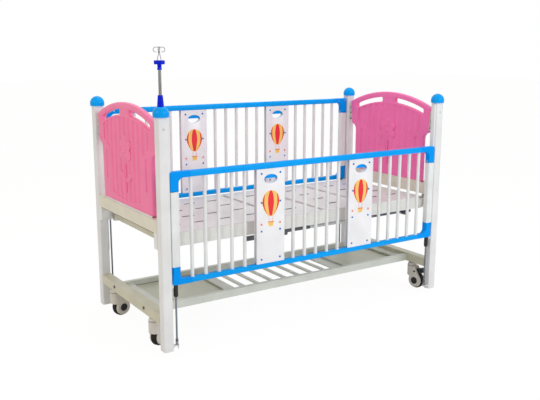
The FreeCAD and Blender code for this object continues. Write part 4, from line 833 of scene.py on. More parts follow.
# ---------------------------------------------------------------------------------------------
# The frame's own nodes
# ---------------------------------------------------------------------------------------------
@dataclass
class FrameDressing:
    """Finishes for the frame nodes that keep their own shape."""

    finishes: dict[str, Finish] = field(default_factory=lambda: {
        "post_caps": CAP_BLUE,
        "upper_end_beams": FRAME_ENAMEL,
        # Painted shade: the lower end beams get the darker copy of the frame enamel.
        "lower_end_beams": SHADED_FRAME_ENAMEL,
        "headboard": HEAD_PINK,
        "footboard": FOOT_PINK,
        "board_bolts": DARK_STEEL,
        "spring_rods": ROD_STEEL,
        "rod_feet": FRAME_ENAMEL,
        "deck_frame": SUPPORT_ENAMEL,
        "deck_brackets": POST_ENAMEL,
        "back_section": DECK_ENAMEL,
        "seat_section": DECK_ENAMEL,
        "thigh_section": DECK_ENAMEL,
        "calf_section": DECK_ENAMEL,
        "push_rod": DARK_STEEL,
        "crank_spindle": ROD_STEEL,
        "crank_grip": SOFT_BLACK,
        "crank_bearing": DARK_STEEL,
        "shelf_rails": SHELF_ENAMEL,
        # Painted shade: the trays get the darker copy of the shelf enamel.
        "shelf_trays": SHADED_TRAY_ENAMEL,
        "shelf_slats": SHELF_ENAMEL,
        "castor_stems": SCREW_STEEL,
        "pole_collar": ROYAL_BLUE,
        "infusion_pole": POLE_STEEL,
        "pole_head": ROYAL_BLUE,
        "pole_hooks": SCREW_STEEL,
    })
    rail_finishes: dict[str, Finish] = field(default_factory=lambda: {
        "tubes": RAIL_BLUE,
        "corners": RAIL_BLUE,
        "end_profiles": BAR_ENAMEL,
        "bars": BAR_ENAMEL,
        "panels": PANEL_WHITE,
        "panel_caps": SCREW_BLUE,
        "gas_cylinders": SOFT_BLACK,
        "left_trigger": CAP_BLUE,
        "right_trigger": CAP_BLUE,
    })
    corner_finishes: dict[str, Finish] = field(default_factory=lambda: {
        "post_": POST_ENAMEL,
        "castor_housing_": CASTOR_GREY,
        "castor_wheel_": TYRE_BLACK,
        "castor_pedal_": SOFT_BLACK,
    })

    def build(self) -> None:
        """Put each node's finish in its material slot."""
        chosen = dict(self.finishes)
        for rail in ("front_rail_", "back_rail_"):
            chosen.update({rail + part: finish for part, finish in self.rail_finishes.items()})
        for corner in CORNERS:
            chosen.update({part + corner: finish for part, finish in self.corner_finishes.items()})
        for name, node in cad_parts.items():
            dress(node, chosen[name])
        log.info("%d frame nodes dressed", len(chosen))


# ---------------------------------------------------------------------------------------------
# Posts
# ---------------------------------------------------------------------------------------------
@dataclass
class PostSet:
    """Domed caps and side plugs of the four posts."""

    x: float = 0.876
    y: float = 0.400
    half_size: float = 0.025
    top: float = 1.152
    cap_radius: float = 0.038
    skirt: float = 0.014
    flat_top: float = 1.199
    pole_hole: float = 0.008
    plug_height: float = 1.0987
    plug_radius: float = 0.0055
    plug_rise: float = 0.0012

    def cap(self, bored: bool) -> Piece:
        """Turn one cap about the origin.

        Args:
            bored: whether it has a flat top with the pole's hole.

        Returns:
            The cap.
        """
        radius, rim = self.cap_radius, self.top + self.skirt
        side = [(radius - 0.003, self.top), (radius - 0.0006, self.top + 0.0008), (radius, self.top + 0.0026),
                (radius - 0.0004, self.top + 0.0046), (radius - 0.0011, self.top + 0.0056),
                (radius - 0.0006, rim - 0.005), (radius - 0.0001, rim)]
        if not bored:
            dome = arc((0.0, rim), radius, 0.0, 90.0, 18)[1:-1]
            return Bench.spun("cap", [(0.0, self.top)] + side + dome + [(0.0, rim + radius)], 56)
        last = math.degrees(math.asin((self.flat_top - 0.0012 - rim) / radius))
        dome = arc((0.0, rim), radius, 0.0, last, 14)[1:]
        flat = [(dome[-1][0] - 0.0015, self.flat_top), (self.pole_hole, self.flat_top)]
        start = [(self.pole_hole, self.top)]
        return Bench.spun("cap", start + side + dome + flat + start, 56)

    def plug(self, side_x: int, side_y: int) -> Piece:
        """Make the plug in one post's outer side.

        Args:
            side_x: -1 at the head end, 1 at the foot end.
            side_y: -1 at the front, 1 at the back.

        Returns:
            The plug.
        """
        face = self.y + self.half_size
        foot = (side_x * self.x, side_y * (face - 0.001), self.plug_height)
        tip = (side_x * self.x, side_y * (face + self.plug_rise), self.plug_height)
        plug = Bench.rod("plug", foot, tip, self.plug_radius, 28)
        Bench.press(plug, lambda polygon: polygon.normal.y * side_y > 0.9, 0.0022, 0.0006)
        return Bench.soften(plug, 0.0004, 2, 50)

    def build(self) -> None:
        """Put a cap on each post and a plug in each post's outer side."""
        bored = Bench.place(self.cap(True), moved(-self.x, -self.y, 0.0))
        plain = Bench.repeat(self.cap(False), [moved(x, y, 0.0) for x, y in (
            (-self.x, self.y), (self.x, -self.y), (self.x, self.y))])
        deliver("post_cap_domes", [bored] + plain, CAP_BLUE, ["post_caps"], angle=38)
        plugs = [self.plug(side_x, side_y) for side_x in SIDES for side_y in SIDES]
        deliver("post_side_plugs", plugs, PLUG_GREY)


# ---------------------------------------------------------------------------------------------
# Head and foot boards
# ---------------------------------------------------------------------------------------------
@dataclass
class EndBoard:
    """Moulded board with a rounded rim, hand slots, a fluted field and a raised flower."""

    name: str
    side: int
    finish: Finish
    x: float = 0.876
    thickness: float = 0.028
    rim: float = 0.0085
    low_half: float = 0.310
    waist_half: float = 0.3495
    high_half: float = 0.3630
    post_face: float = 0.375
    bottom: float = 0.670
    notch: float = 0.932
    shoulder: float = 1.118
    peak: float = 1.195
    slot_depth: float = 0.047
    slot_height: float = 0.029
    slot_reach: tuple[float, float] = (0.058, 0.301)
    slot_corner: float = 0.0105
    field_depth: float = 0.0055
    field_below_slot: float = 0.010
    field_half: float = 0.282
    field_low_half: float = 0.203
    field_bottom: tuple[float, float] = (0.702, 0.726)
    field_edge: float = 0.0036
    waist_span: tuple[float, float] = (0.936, 1.000)
    flute_count: int = 12
    flute_pitch: float = 0.0564
    flute_width: float = 0.030
    flute_height: float = 0.0052
    flute_flank: float = 0.0130
    groove_y: float = 0.250
    groove_z: tuple[float, float] = (0.785, 0.936)
    groove_radius: float = 0.0090
    groove_rise: float = 0.0032
    dimple_radius: float = 0.0135
    dimple_rise: float = 0.0057
    flower_z: float = 0.960
    petals: int = 6
    petal: tuple[float, float] = (0.0235, 0.0300)
    petal_reach: float = 0.045
    leaf: tuple[float, float] = (0.0420, 0.0165)
    leaf_place: Point = (0.041, 0.822)
    leaf_tilt: float = 30.0
    stem_half: float = 0.005
    stem_z: tuple[float, float] = (0.742, 0.930)
    pad_thickness: float = 0.0136
    pad_edge: float = 0.0042
    flower_core: Place = (0.0100, 0.0190, 0.0190)
    bolt_heights: tuple[float, ...] = (1.0005, 1.0385, 1.0765)
    nut_radius: float = 0.0075
    nut_length: float = 0.0090
    strip_z: tuple[float, float] = (0.986, 1.100)
    strip: float = 0.0014
    strip_width: float = 0.024

    def __post_init__(self) -> None:
        """Work out the arch that runs over the shoulders and the peak, and the field's floor."""
        self.arch_radius = bow_radius(self.high_half, self.peak - self.shoulder)
        self.arch_centre = self.peak - self.arch_radius
        middle = self.arch_radius - self.slot_depth
        self.slot_radii = (middle - self.slot_height / 2, middle + self.slot_height / 2)
        self.field_arch = self.slot_radii[0] - self.field_below_slot
        self.floor = self.thickness / 2 - self.field_depth

    def edge_y(self, z: float) -> float:
        """Half width of the leaning upper sides at one height."""
        foot = self.notch + self.waist_half - self.low_half
        return self.waist_half + (self.high_half - self.waist_half) * (z - foot) / (self.shoulder - foot)

    def arch(self, radius: float, first: float, last: float, steps: int) -> list[Point]:
        """Points on a circle about the arch's centre, between two distances from the middle."""
        places = [first + (last - first) * n / steps for n in range(steps + 1)]
        return [(y, self.arch_centre + math.sqrt(radius ** 2 - y ** 2)) for y in places]

    @staticmethod
    def mirrored(corners: Sequence[Corner]) -> list[Corner]:
        """The same corners on the other side, in the opposite order."""
        return [(-y, z, radius) for y, z, radius in reversed(corners)]

    def outer_outline(self) -> list[Point]:
        """Draw the outline with the scalloped waist and the arched top.

        Returns:
            The outline's points.
        """
        scallop = self.waist_half - self.low_half
        right = [(self.low_half, self.bottom, 0.016)]
        right += sharp(arc((self.waist_half, self.notch), scallop, 180.0, 97.0, 10))
        right += [(self.waist_half, self.notch + scallop, 0.005), (self.high_half, self.shoulder, 0.012)]
        right += sharp(self.arch(self.arch_radius, self.high_half, 0.0, 18)[1:-1])
        return rounded(right + [(0.0, self.arch_centre + self.arch_radius, 0.0)] + self.mirrored(right))

    def slot_outline(self, side: int) -> list[Point]:
        """Draw one curved hand slot.

        Args:
            side: -1 or 1 across the cot.

        Returns:
            The outline's points.
        """
        near, far = self.slot_radii
        first, last = self.slot_reach
        corners = []
        for run in (self.arch(near, first, last, 9), self.arch(far, last, first, 9)):
            ends = (run[0], run[-1])
            corners += [(side * y, z, self.slot_corner if (y, z) in ends else 0.0) for y, z in run]
        return rounded(corners, 5)

    def field_outline(self) -> list[Point]:
        """Draw the fluted field: arched top, waisted sides and a hanging lower edge.

        Returns:
            The outline's points.
        """
        middle_z, corner_z = self.field_bottom
        half = self.field_low_half
        radius = bow_radius(half, corner_z - middle_z)
        half_angle = math.degrees(math.asin(half / radius))
        hang = arc((0.0, middle_z + radius), radius, -90.0, -90.0 + half_angle, 8)
        step, (low, high) = self.field_half - half, self.waist_span
        waist = [(half + step * eased(t), low + (high - low) * t) for t in (n / 12 for n in range(13))]
        top = self.arch(self.field_arch, self.field_half, 0.0, 14)
        right = sharp(hang[1:-1]) + [(*hang[-1], 0.012)] + sharp(waist)
        right += [(*top[0], 0.012)] + sharp(top[1:-1])
        return rounded([(*hang[0], 0.0)] + right + [(*top[-1], 0.0)] + self.mirrored(right))

    def flutes(self) -> Piece:
        """Make the solid whose fluted face gives the field its floor.

        Returns:
            The solid, taller than the field.
        """
        half, behind, low, high = self.flute_width / 2, 0.040, 0.60, 1.20
        face: list[Point] = []
        for number in range(-self.flute_count // 2, self.flute_count // 2):
            middle = (number + 0.5) * self.flute_pitch
            for side in SIDES:
                slope = [(half + self.flute_flank * (0.5 - t), eased(t)) for t in (n / 5 for n in range(6))]
                ordered = slope if side < 0 else reversed(slope)
                face += [(self.floor + self.flute_height * share, middle + side * offset)
                         for offset, share in ordered]
        outline = face + [(behind, face[-1][1]), (behind, face[0][1])]
        return Bench.plate("flutes", [outline], Plane.FLAT, (low + high) / 2, high - low, 0.0)

    def field_cutter(self) -> Piece:
        """Make what is cut out of the +X face for the field with its flutes.

        Returns:
            The cutter.
        """
        depth = 0.020
        block = Bench.plate("field", [self.field_outline()], Plane.END, self.floor + depth / 2, depth,
                            self.field_edge, 3)
        return Bench.work(block, self.flutes(), Cut.KEEP_SHARED)

    def groove_cutter(self, side: int) -> Piece:
        """Make the cutter of a round-bottomed groove beside the field, with a dimple at its top.

        Args:
            side: -1 or 1 across the cot.

        Returns:
            The cutter for the +X face.
        """
        face, y = self.thickness / 2, side * self.groove_y
        low, high = self.groove_z
        axis = face + self.groove_rise
        groove = Bench.rod("groove", (axis, y, low), (axis, y, high), self.groove_radius)
        dimple = Bench.ball("dimple", (face + self.dimple_rise, y, high - 0.004), self.dimple_radius, 32)
        return Bench.work(groove, dimple, Cut.JOIN)

    def flower(self) -> Piece:
        """Emboss a flower with a stem and two leaves on the +X face's field.

        Returns:
            The flower.
        """
        head = (0.0, self.flower_z)
        petal = ellipse((0.0, self.flower_z + self.petal_reach), *self.petal, 28)
        pads = [turned(petal, head, 360.0 / self.petals * number) for number in range(self.petals)]
        for side in SIDES:
            middle = (side * self.leaf_place[0], self.leaf_place[1])
            pads.append(turned(ellipse(middle, *self.leaf, 28), middle, side * self.leaf_tilt))
        half, (low, high) = self.stem_half, self.stem_z
        stem = [(-half, low, 0.0045), (half, low, 0.0045), (half, high, 0.0), (-half, high, 0.0)]
        pads.append(rounded(stem, 4))
        parts = [Bench.plate("pad", [pad], Plane.END, self.floor, self.pad_thickness, self.pad_edge, 4)
                 for pad in pads]
        core = Bench.ball("core", (0.0, 0.0, 0.0), 1.0, 40)
        Bench.place(core, moved(self.floor, *head) @ Matrix.Diagonal((*self.flower_core, 1.0)))
        return Bench.join("flower", parts + [core])

    def build(self) -> None:
        """Mould the board, and fit its side strips and nuts."""
        outlines = [self.outer_outline(), self.slot_outline(-1), self.slot_outline(1)]
        board = Bench.plate("board", outlines, Plane.END, 0.0, self.thickness, self.rim, 4)
        flip = Matrix.Scale(-1.0, 4, (1.0, 0.0, 0.0))
        for tool in [self.field_cutter()] + [self.groove_cutter(side) for side in SIDES]:
            Bench.work(board, Bench.copy(tool, "far_tool", flip))
            Bench.work(board, tool)
        near = self.flower()
        shapes = [board, near, Bench.copy(near, "far_flower", flip)]
        for shape in shapes:
            Bench.place(shape, moved(self.side * self.x, 0.0, 0.0))
        deliver(self.name + "_moulding", shapes, self.finish, [self.name], angle=32)
        self.fixings()

    def fixings(self) -> None:
        """Fit strips along the board's leaning sides, and nuts on each bolt."""
        strips, nuts = [], []
        x, (low, high) = self.side * self.x, self.strip_z
        for side in SIDES:
            inner = [(side * (self.edge_y(z) - 0.001), z) for z in (low, high)]
            outer = [(side * (self.edge_y(z) + self.strip), z) for z in (low, high)]
            outline = [inner[0], outer[0], outer[1], inner[1]]
            strips.append(Bench.plate("strip", [outline], Plane.END, x, self.strip_width, 0.0008, 2))
            for height in self.bolt_heights:
                seat = self.edge_y(height) + self.strip
                far = min(seat + self.nut_length, self.post_face + 0.0002)
                nut = Bench.rod("nut", (x, side * (seat - 0.001), height), (x, side * far, height),
                                self.nut_radius, 6)
                nuts.append(Bench.soften(nut, 0.0006, 2, 30))
        deliver(self.name + "_strips", strips, FRAME_ENAMEL)
        deliver(self.name + "_nuts", nuts, DARK_STEEL)


@dataclass
class EndBeams:
    """Small fittings of the end beams, a dark strip under each upper beam that paints the shadow of the gap
    below it, and darker plates on the deck frame's ends that paint their shade.
    """

    outer_x: float = 0.901
    screw_y: float = 0.193
    screw_z: float = 0.191
    screw_radius: float = 0.0085
    # Dark strip under the upper beam's outer edge: painted shadow of the gap below the beam.
    shadow_strip_x: tuple[float, float] = (0.8930, 0.8998)
    shadow_strip_half: float = 0.3745
    strip_z: tuple[float, float] = (0.6045, 0.6085)
    lip_x: tuple[float, float] = (0.8899, 0.8940)
    lip_half: float = 0.3095
    lip_z: tuple[float, float] = (0.6695, 0.6788)
    # Plates on the deck frame's end tubes, in a darker copy of the frame enamel: painted shade.
    shade_plate_x: tuple[float, float] = (0.8350, 0.8376)
    shade_plate_half: float = 0.3150
    shade_plate_z: tuple[float, float] = (0.5402, 0.5738)

    def screws(self) -> list[Piece]:
        """Make two socket screws for each lower beam.

        Returns:
            The four screws.
        """
        made = []
        for side_x in SIDES:
            for side_y in SIDES:
                y, seat, face = side_y * self.screw_y, self.outer_x - 0.001, self.outer_x + 0.0042
                made.append(Bench.screw((side_x * seat, y, self.screw_z), (side_x * face, y, self.screw_z),
                                        self.screw_radius, 32, (0.0012, 3), (0.0028, 0.0026)))
        return made

    @staticmethod
    def across(span_x: tuple[float, float], half: float, span_z: tuple[float, float],
               edge: float) -> list[Piece]:
        """Make a thin bar across the cot at each end.

        Args:
            span_x: its sides' distances from the cot's middle.
            half: half its length.
            span_z: heights of its bottom and top.
            edge: radius of its edges.

        Returns:
            The two bars.
        """
        bars = []
        for side in SIDES:
            near, far = sorted(side * x for x in span_x)
            bar = Bench.block("bar", (near, -half, span_z[0]), (far, half, span_z[1]))
            bars.append(Bench.soften(bar, edge))
        return bars

    def build(self) -> None:
        """Fit screws to the lower beams, lips and dark strips of painted shadow to the upper ones, and darker
        plates of painted shade to the deck frame's ends.
        """
        # The strips paint the shadow in the gap under each upper beam.
        strips = self.across(self.shadow_strip_x, self.shadow_strip_half, self.strip_z, 0.0010)
        lips = self.across(self.lip_x, self.lip_half, self.lip_z, 0.0009)
        # These plates paint the shade on the deck frame's ends.
        covers = self.across(self.shade_plate_x, self.shade_plate_half, self.shade_plate_z, 0.0010)
        deliver("beam_socket_screws", self.screws(), DARK_STEEL)
        deliver("upper_beam_shadow_strips", strips, PAINTED_GAP_SHADE)
        deliver("upper_beam_lips", lips, POST_ENAMEL)
        deliver("deck_end_shade_plates", covers, SHADED_FRAME_ENAMEL)


# ---------------------------------------------------------------------------------------------
# Side rails
# ---------------------------------------------------------------------------------------------
@dataclass
class SideRail:
    """One barred side rail, modelled lowered at the front and copied, mirrored and raised, for the back."""

    y: float = -0.408
    depth: float = 0.034
    end: float = 0.848
    low: float = 0.359
    high: float = 0.902
    top_tube: float = 0.030
    bottom_tube: float = 0.026
    tube_end: float = 0.744
    corner_width: float = 0.042
    corner_length: float = 0.105
    top_corner: float = 0.096
    bottom_corner: float = 0.091
    inner_radius: float = 0.026
    groove_depth: float = 0.0075
    groove_half: float = 0.0075
    groove_z: tuple[float, float] = (0.30, 0.95)
    rod_x: float = 0.8273
    cylinder_radius: float = 0.011
    cylinder_low: float = 0.298
    cylinder_length: float = 0.385
    cylinder_plug: float = 0.015
    line_x: tuple[float, float] = (0.006, 0.0072)
    line_z: tuple[float, float] = (0.40, 0.86)
    bar_radius: float = 0.009
    bar_pitch: float = 0.0737
    bars_each_side: int = 10
    panel_bar: int = 4
    panel_width: float = 0.169
    sheet: float = 0.004
    cap_rows: int = 4
    cap_offset: float = 0.056
    cap_edge: float = 0.023
    hole: Place = (0.040, 0.0235, 0.820)
    liner: float = 0.0018
    trigger: Place = (0.092, 0.823, 0.856)
    travel: float = 0.232

    def __post_init__(self) -> None:
        """Work out the places that follow from the sizes."""
        self.panel_x = self.panel_bar * self.bar_pitch
        self.bar_low, self.bar_high = self.low + self.bottom_tube, self.high - self.top_tube
        self.panel_face = self.bar_radius + self.sheet
        self.cylinder_high = self.cylinder_low + self.cylinder_length

    def tube(self, bottom: float, height: float, upper: float, lower: float) -> Piece:
        """Make a lying tube.

        Args:
            bottom: height of its underside.
            height: its own height.
            upper: radius of its upper edges.
            lower: radius of its lower edges.

        Returns:
            The tube.
        """
        half, top = self.depth / 2 - 0.0006, bottom + height
        outline = rounded([(self.y - half, bottom, lower), (self.y + half, bottom, lower),
                           (self.y + half, top, upper), (self.y - half, top, upper)], 7)
        return Bench.plate("tube", [outline], Plane.END, 0.0, 2 * self.tube_end, 0.0)

    def clear_way(self, piece: Piece, side: int) -> Piece:
        """Cut the groove for the post's rib and the bore for the gas spring, which ends in the upper corner.

        Args:
            piece: the piece that is cut.
            side: -1 at the head end, 1 at the foot end.

        Returns:
            The same piece.
        """
        low, high = self.groove_z
        groove = Bench.block("groove", (side * (self.end + 0.004), self.y - self.groove_half, low),
                             (side * (self.end - self.groove_depth), self.y + self.groove_half, high))
        Bench.work(piece, groove)
        reaches_top = max(corner[2] for corner in piece.bound_box) > self.high - 0.001
        end = self.cylinder_high + 0.001 if reaches_top else high
        bore = Bench.rod("bore", (side * self.rod_x, self.y, low), (side * self.rod_x, self.y, end),
                         self.cylinder_radius + 0.0003, 40)
        return Bench.work(piece, bore)

    def corner(self, side: int, upper: bool) -> Piece:
        """Make an L-shaped corner moulding with rounded edges.

        Args:
            side: -1 at the head end, 1 at the foot end.
            upper: whether it joins the upper tube.

        Returns:
            The moulding.
        """
        outer, turn = (self.high, -1) if upper else (self.low, 1)
        tube = outer + turn * (self.top_tube if upper else self.bottom_tube)
        arm = outer + turn * (self.top_corner if upper else self.bottom_corner)
        end, inner, far = (side * (self.end - d) for d in (0.0, self.corner_width, self.corner_length))
        points = [(far, outer, 0.0), (far, tube, 0.0), (inner, tube, self.inner_radius), (inner, arm, 0.002),
                  (end, arm, 0.001), (end, outer, 0.012)]
        moulding = Bench.plate("corner", [rounded(points, 9)], Plane.SIDE, self.y, self.depth, 0.0042, 4)
        return self.clear_way(moulding, side)

    def end_profile(self, side: int) -> Piece:
        """Make the upright profile between two corner mouldings, with a fine line down its face.

        Args:
            side: -1 at the head end, 1 at the foot end.

        Returns:
            The profile.
        """
        inner, half, lap = self.end - self.corner_width + 0.0006, self.depth / 2 - 0.0006, 0.004
        face = self.y - half
        profile = Bench.block("profile", (side * inner, face, self.low + self.bottom_corner - lap),
                              (side * (self.end - 0.0002), self.y + half, self.high - self.top_corner + lap))
        Bench.soften(profile, 0.0024, 3)
        line = Bench.block("line", (side * (inner + self.line_x[0]), face - 0.002, self.line_z[0]),
                           (side * (inner + self.line_x[1]), face + 0.0007, self.line_z[1]))
        return self.clear_way(Bench.work(profile, line), side)

    def bars(self) -> list[Piece]:
        """Make all round bars, with a small collar where each enters the tubes.

        Returns:
            The open bars, and two behind each panel.
        """
        low, high, r = self.bar_low - 0.002, self.bar_high + 0.002, self.bar_radius
        collar = [(0.0, 0.0012), (0.0038, 0.0012), (0.0045, 0.0006), (0.0048, 0.0)]
        foot = [(r + step, low + up) for up, step in collar]
        head = [(r + step, high - up) for up, step in reversed(collar)]
        model = Bench.spun("bar", [(0.0, low)] + foot + head + [(0.0, high)], 28)
        numbers = range(-self.bars_each_side, self.bars_each_side + 1)
        places = [n * self.bar_pitch for n in numbers if abs(abs(n) - self.panel_bar) > 1]
        places += [side * self.panel_x + near * self.cap_offset for side in SIDES for near in SIDES]
        return Bench.repeat(model, [moved(x, self.y, 0.0) for x in places])

    def panel(self, centre: float) -> Piece:
        """Make two sheets with an oval hand hole, lined round its lower half.

        Args:
            centre: the panel's middle along the rail.

        Returns:
            The panel.
        """
        half = self.panel_width / 2
        wide, tall, hole_z = self.hole
        outline = box(centre - half, centre + half, self.bar_low, self.bar_high, 0.002, 3)
        hole = ellipse((centre, hole_z), wide, tall, 56)
        parts = []
        for side in SIDES:
            middle = self.y + side * (self.bar_radius + self.sheet / 2)
            parts.append(Bench.plate("sheet", [outline, hole], Plane.SIDE, middle, self.sheet, 0.0009, 2))
        angles = [math.radians(184.0 + 172.0 * n / 24) for n in range(25)]
        band = [(centre + (wide + self.liner) * math.cos(a), hole_z + (tall + self.liner) * math.sin(a))
                for a in angles]
        band += [(centre + wide * math.cos(a), hole_z + tall * math.sin(a)) for a in reversed(angles)]
        parts.append(Bench.plate("liner", [band], Plane.SIDE, self.y, 2 * self.bar_radius, 0.0))
        return Bench.join("panel", parts)

    def screw_caps(self) -> list[Piece]:
        """Make the domed six-sided caps on both faces of both panels.

        Returns:
            The caps.
        """
        base = Bench.rod("cap", (0.0, 0.0, 0.0), (0.0, 0.0, 0.0022), 0.0056, 6)
        dome = Bench.ball("dome", (0.0, 0.0, 0.0008), 0.0042, 16)
        model = Bench.join("cap", [Bench.soften(base, 0.0005, 2, 30), dome])
        low, high = self.bar_low + self.cap_edge, self.bar_high - self.cap_edge
        columns = [p * self.panel_x + q * self.cap_offset for p in SIDES for q in SIDES]
        heights = [low + (high - low) * row / (self.cap_rows - 1) for row in range(self.cap_rows)]
        return Bench.repeat(model, [moved(x, self.y + side * self.panel_face, z) @ spin(-90.0 * side, "X")
                                    for side in SIDES for x in columns for z in heights])

    def release(self, centre: float) -> Piece:
        """Make a release handle with a finger groove along its lower edge.

        Args:
            centre: its middle along the rail.

        Returns:
            The handle.
        """
        width, low, high = self.trigger
        half, groove_z = self.bar_radius - 0.0004, low + 0.0085
        handle = Bench.block("handle", (centre - width / 2, self.y - half, low),
                             (centre + width / 2, self.y + half, high))
        for side in SIDES:
            y = self.y + side * half
            ends = [(centre + reach * width, y, groove_z) for reach in SIDES]
            Bench.work(handle, Bench.rod("groove", *ends, 0.0026, 20))
        return Bench.soften(handle, 0.0022, 3, 60)

    def gas_body(self, side: int) -> Piece:
        """Make a gas-spring body, hollow for its rod and piston.

        Args:
            side: -1 at the head end, 1 at the foot end.

        Returns:
            The body.
        """
        outer, bore, mouth, plug = self.cylinder_radius, 0.0091, 0.0046, self.cylinder_plug
        low, high = self.cylinder_low, self.cylinder_high
        neck = outer - 0.0022
        profile = [(mouth, low + 0.002), (mouth + 0.001, low), (outer - 0.0035, low), (neck, low + 0.0012),
                   (neck, low + 0.004), (outer - 0.0006, low + 0.005), (outer, low + 0.0065), (outer, high),
                   (mouth, high), (mouth, high - plug), (bore, high - plug), (bore, low + plug),
                   (mouth, low + plug), (mouth, low + 0.002)]
        return Bench.place(Bench.spun("gas_body", profile, 40), moved(side * self.rod_x, self.y, 0.0))

    def fittings(self) -> list[Piece]:
        """Make the screws in the upper mouldings' inner faces and at the deck side of all mouldings.

        Returns:
            The screws.
        """
        screws = []
        face = self.y + self.depth / 2
        rows = [(inset, z) for z in (self.high - 0.015, self.low + 0.013) for inset in (0.012, 0.062)]
        for side in SIDES:
            x, z = self.end - self.corner_width, self.high - self.top_corner + 0.012
            ends = [(side * at, self.y, z) for at in (x + 0.001, x - 0.0028)]
            screws.append(Bench.screw(*ends, 0.0062, 28, (0.0012, 3), (0.0022, 0.0012)))
            for inset, z in rows:
                x = side * (self.end - inset)
                screws.append(Bench.screw((x, face - 0.001, z), (x, face + 0.0011, z), 0.0042, 24,
                                          (0.0006, 2), (0.0014, 0.0008)))
        return screws

    @staticmethod
    def balloon() -> dict[str, list[list[Point]]]:
        """Draw a hot-air balloon about its panel's middle line.

        Returns:
            Its outlines for each colour, from the undermost to the topmost.
        """
        widest = 0.690
        crown = [point for point in ellipse((0.0, 0.705), 0.052, 0.056, 48) if point[1] > widest]
        crown.sort(key=lambda point: math.atan2(point[1] - widest, point[0]))
        cone = both_sides([(-0.0495, 0.688), (-0.040, 0.664), (-0.024, 0.640), (-0.014, 0.630)])
        gore = arc((0.0, 0.0), 1.0, 0.0, 180.0, 16)
        gore = [(0.0182 * x, 0.697 + 0.064 * z) for x, z in gore]
        side_gore = ((0.0500, 0.700), (0.0470, 0.722), (0.0400, 0.738), (0.0345, 0.746), (0.0385, 0.722),
                     (0.0395, 0.698), (0.0370, 0.676), (0.0300, 0.656), (0.0185, 0.633), (0.0235, 0.640),
                     (0.0390, 0.664), (0.0480, 0.686))
        rope = ((0.012, 0.6285), (0.0135, 0.6285), (0.0105, 0.6000), (0.0090, 0.6000))
        basket = rounded([(-0.014, 0.576, 0.005), (0.014, 0.576, 0.005), (0.0165, 0.600, 0.001),
                          (-0.0165, 0.600, 0.001)], 4)
        red = [gore + both_sides([(-0.0165, 0.680), (-0.007, 0.630)])]
        orange = [box(-0.018, 0.018, 0.5965, 0.6015, 0.0015, 3)]
        for side in SIDES:
            red.append([(side * x, z) for x, z in side_gore])
            orange.append([(side * x, z) for x, z in rope])
            orange.append(star((side * 0.056, 0.590), 0.0085))
        return {"amber": [crown + cone, basket], "red": red, "orange": orange}

    def pictures(self) -> dict[str, Piece]:
        """Print the balloon on each face of each panel, as one thin shape for each colour.

        Returns:
            The prints by colour.
        """
        made = {}
        for number, (colour, outlines) in enumerate(self.balloon().items()):
            lift = 0.00022 + 0.00014 * number
            parts = []
            for side in SIDES:
                middle = self.y + side * (self.panel_face + lift / 2 - 0.0001)
                for centre in (-self.panel_x, self.panel_x):
                    for outline in outlines:
                        shifted = [(centre + x, z) for x, z in outline]
                        parts.append(Bench.plate("print", [shifted], Plane.SIDE, middle, lift + 0.0002, 0.0))
            made[colour] = Bench.join("print", parts)
        return made

    def parts(self) -> list[tuple[str, list[Piece], Finish, str, str, list[str]]]:
        """Model the front rail.

        Returns:
            For each piece its name, its shapes, its finish, its slot, its body's last word, and the last
            words of the nodes that it stands for.
        """
        corners = [self.corner(side, upper) for side in SIDES for upper in (True, False)]
        tubes = [self.tube(self.bar_high, self.top_tube, 0.0115, 0.0065),
                 self.tube(self.low, self.bottom_tube, 0.0065, 0.0065)]
        profiles = [self.end_profile(side) for side in SIDES]
        panels = [self.panel(side * self.panel_x) for side in SIDES]
        bodies = [self.gas_body(side) for side in SIDES]
        prints = self.pictures()
        return [
            ("tube_pair", tubes, RAIL_BLUE, "blue_paint", "", ["tubes"]),
            ("corner_mouldings", corners, CORNER_BLUE, "blue_plastic", "", ["corners"]),
            ("end_channels", profiles, BAR_ENAMEL, "white_aluminium", "", ["end_profiles"]),
            ("bar_set", self.bars(), BAR_ENAMEL, "white_aluminium", "", ["bars"]),
            ("picture_panels", panels, PANEL_WHITE, "white_plastic", "", ["panels"]),
            ("domed_caps", self.screw_caps(), SCREW_BLUE, "blue_plastic", "", ["panel_caps"]),
            ("gas_bodies", bodies, SOFT_BLACK, "dark_steel", "", ["gas_cylinders"]),
            ("steel_screws", self.fittings(), SCREW_STEEL, "bright_steel", "", []),
            ("left_handle", [self.release(-self.panel_x)], CAP_BLUE, "blue_plastic", "_left_release",
             ["left_trigger"]),
            ("right_handle", [self.release(self.panel_x)], CAP_BLUE, "blue_plastic", "_right_release",
             ["right_trigger"]),
            ("print_amber", [prints["amber"]], PRINT_AMBER, "white_plastic", "", []),
            ("print_red", [prints["red"]], PRINT_RED, "white_plastic", "", []),
            ("print_orange", [prints["orange"]], PRINT_ORANGE, "white_plastic", "", []),
        ]

    def build(self) -> None:
        """Model the front rail, and copy it for the back."""
        raised = moved(0.0, 0.0, self.travel) @ Matrix.Scale(-1.0, 4, (0.0, 1.0, 0.0))
        for name, shapes, finish, slot, body, replaced in self.parts():
            front = dress(Bench.smooth(Bench.join(f"front_rail_{name}", shapes), 34), finish)
            back = Bench.copy(front, f"back_rail_{name}", raised)
            for rail, piece in (("back_rail", back), ("front_rail", front)):
                hand_over(piece, rail + body, [f"{rail}_{word}" for word in replaced])


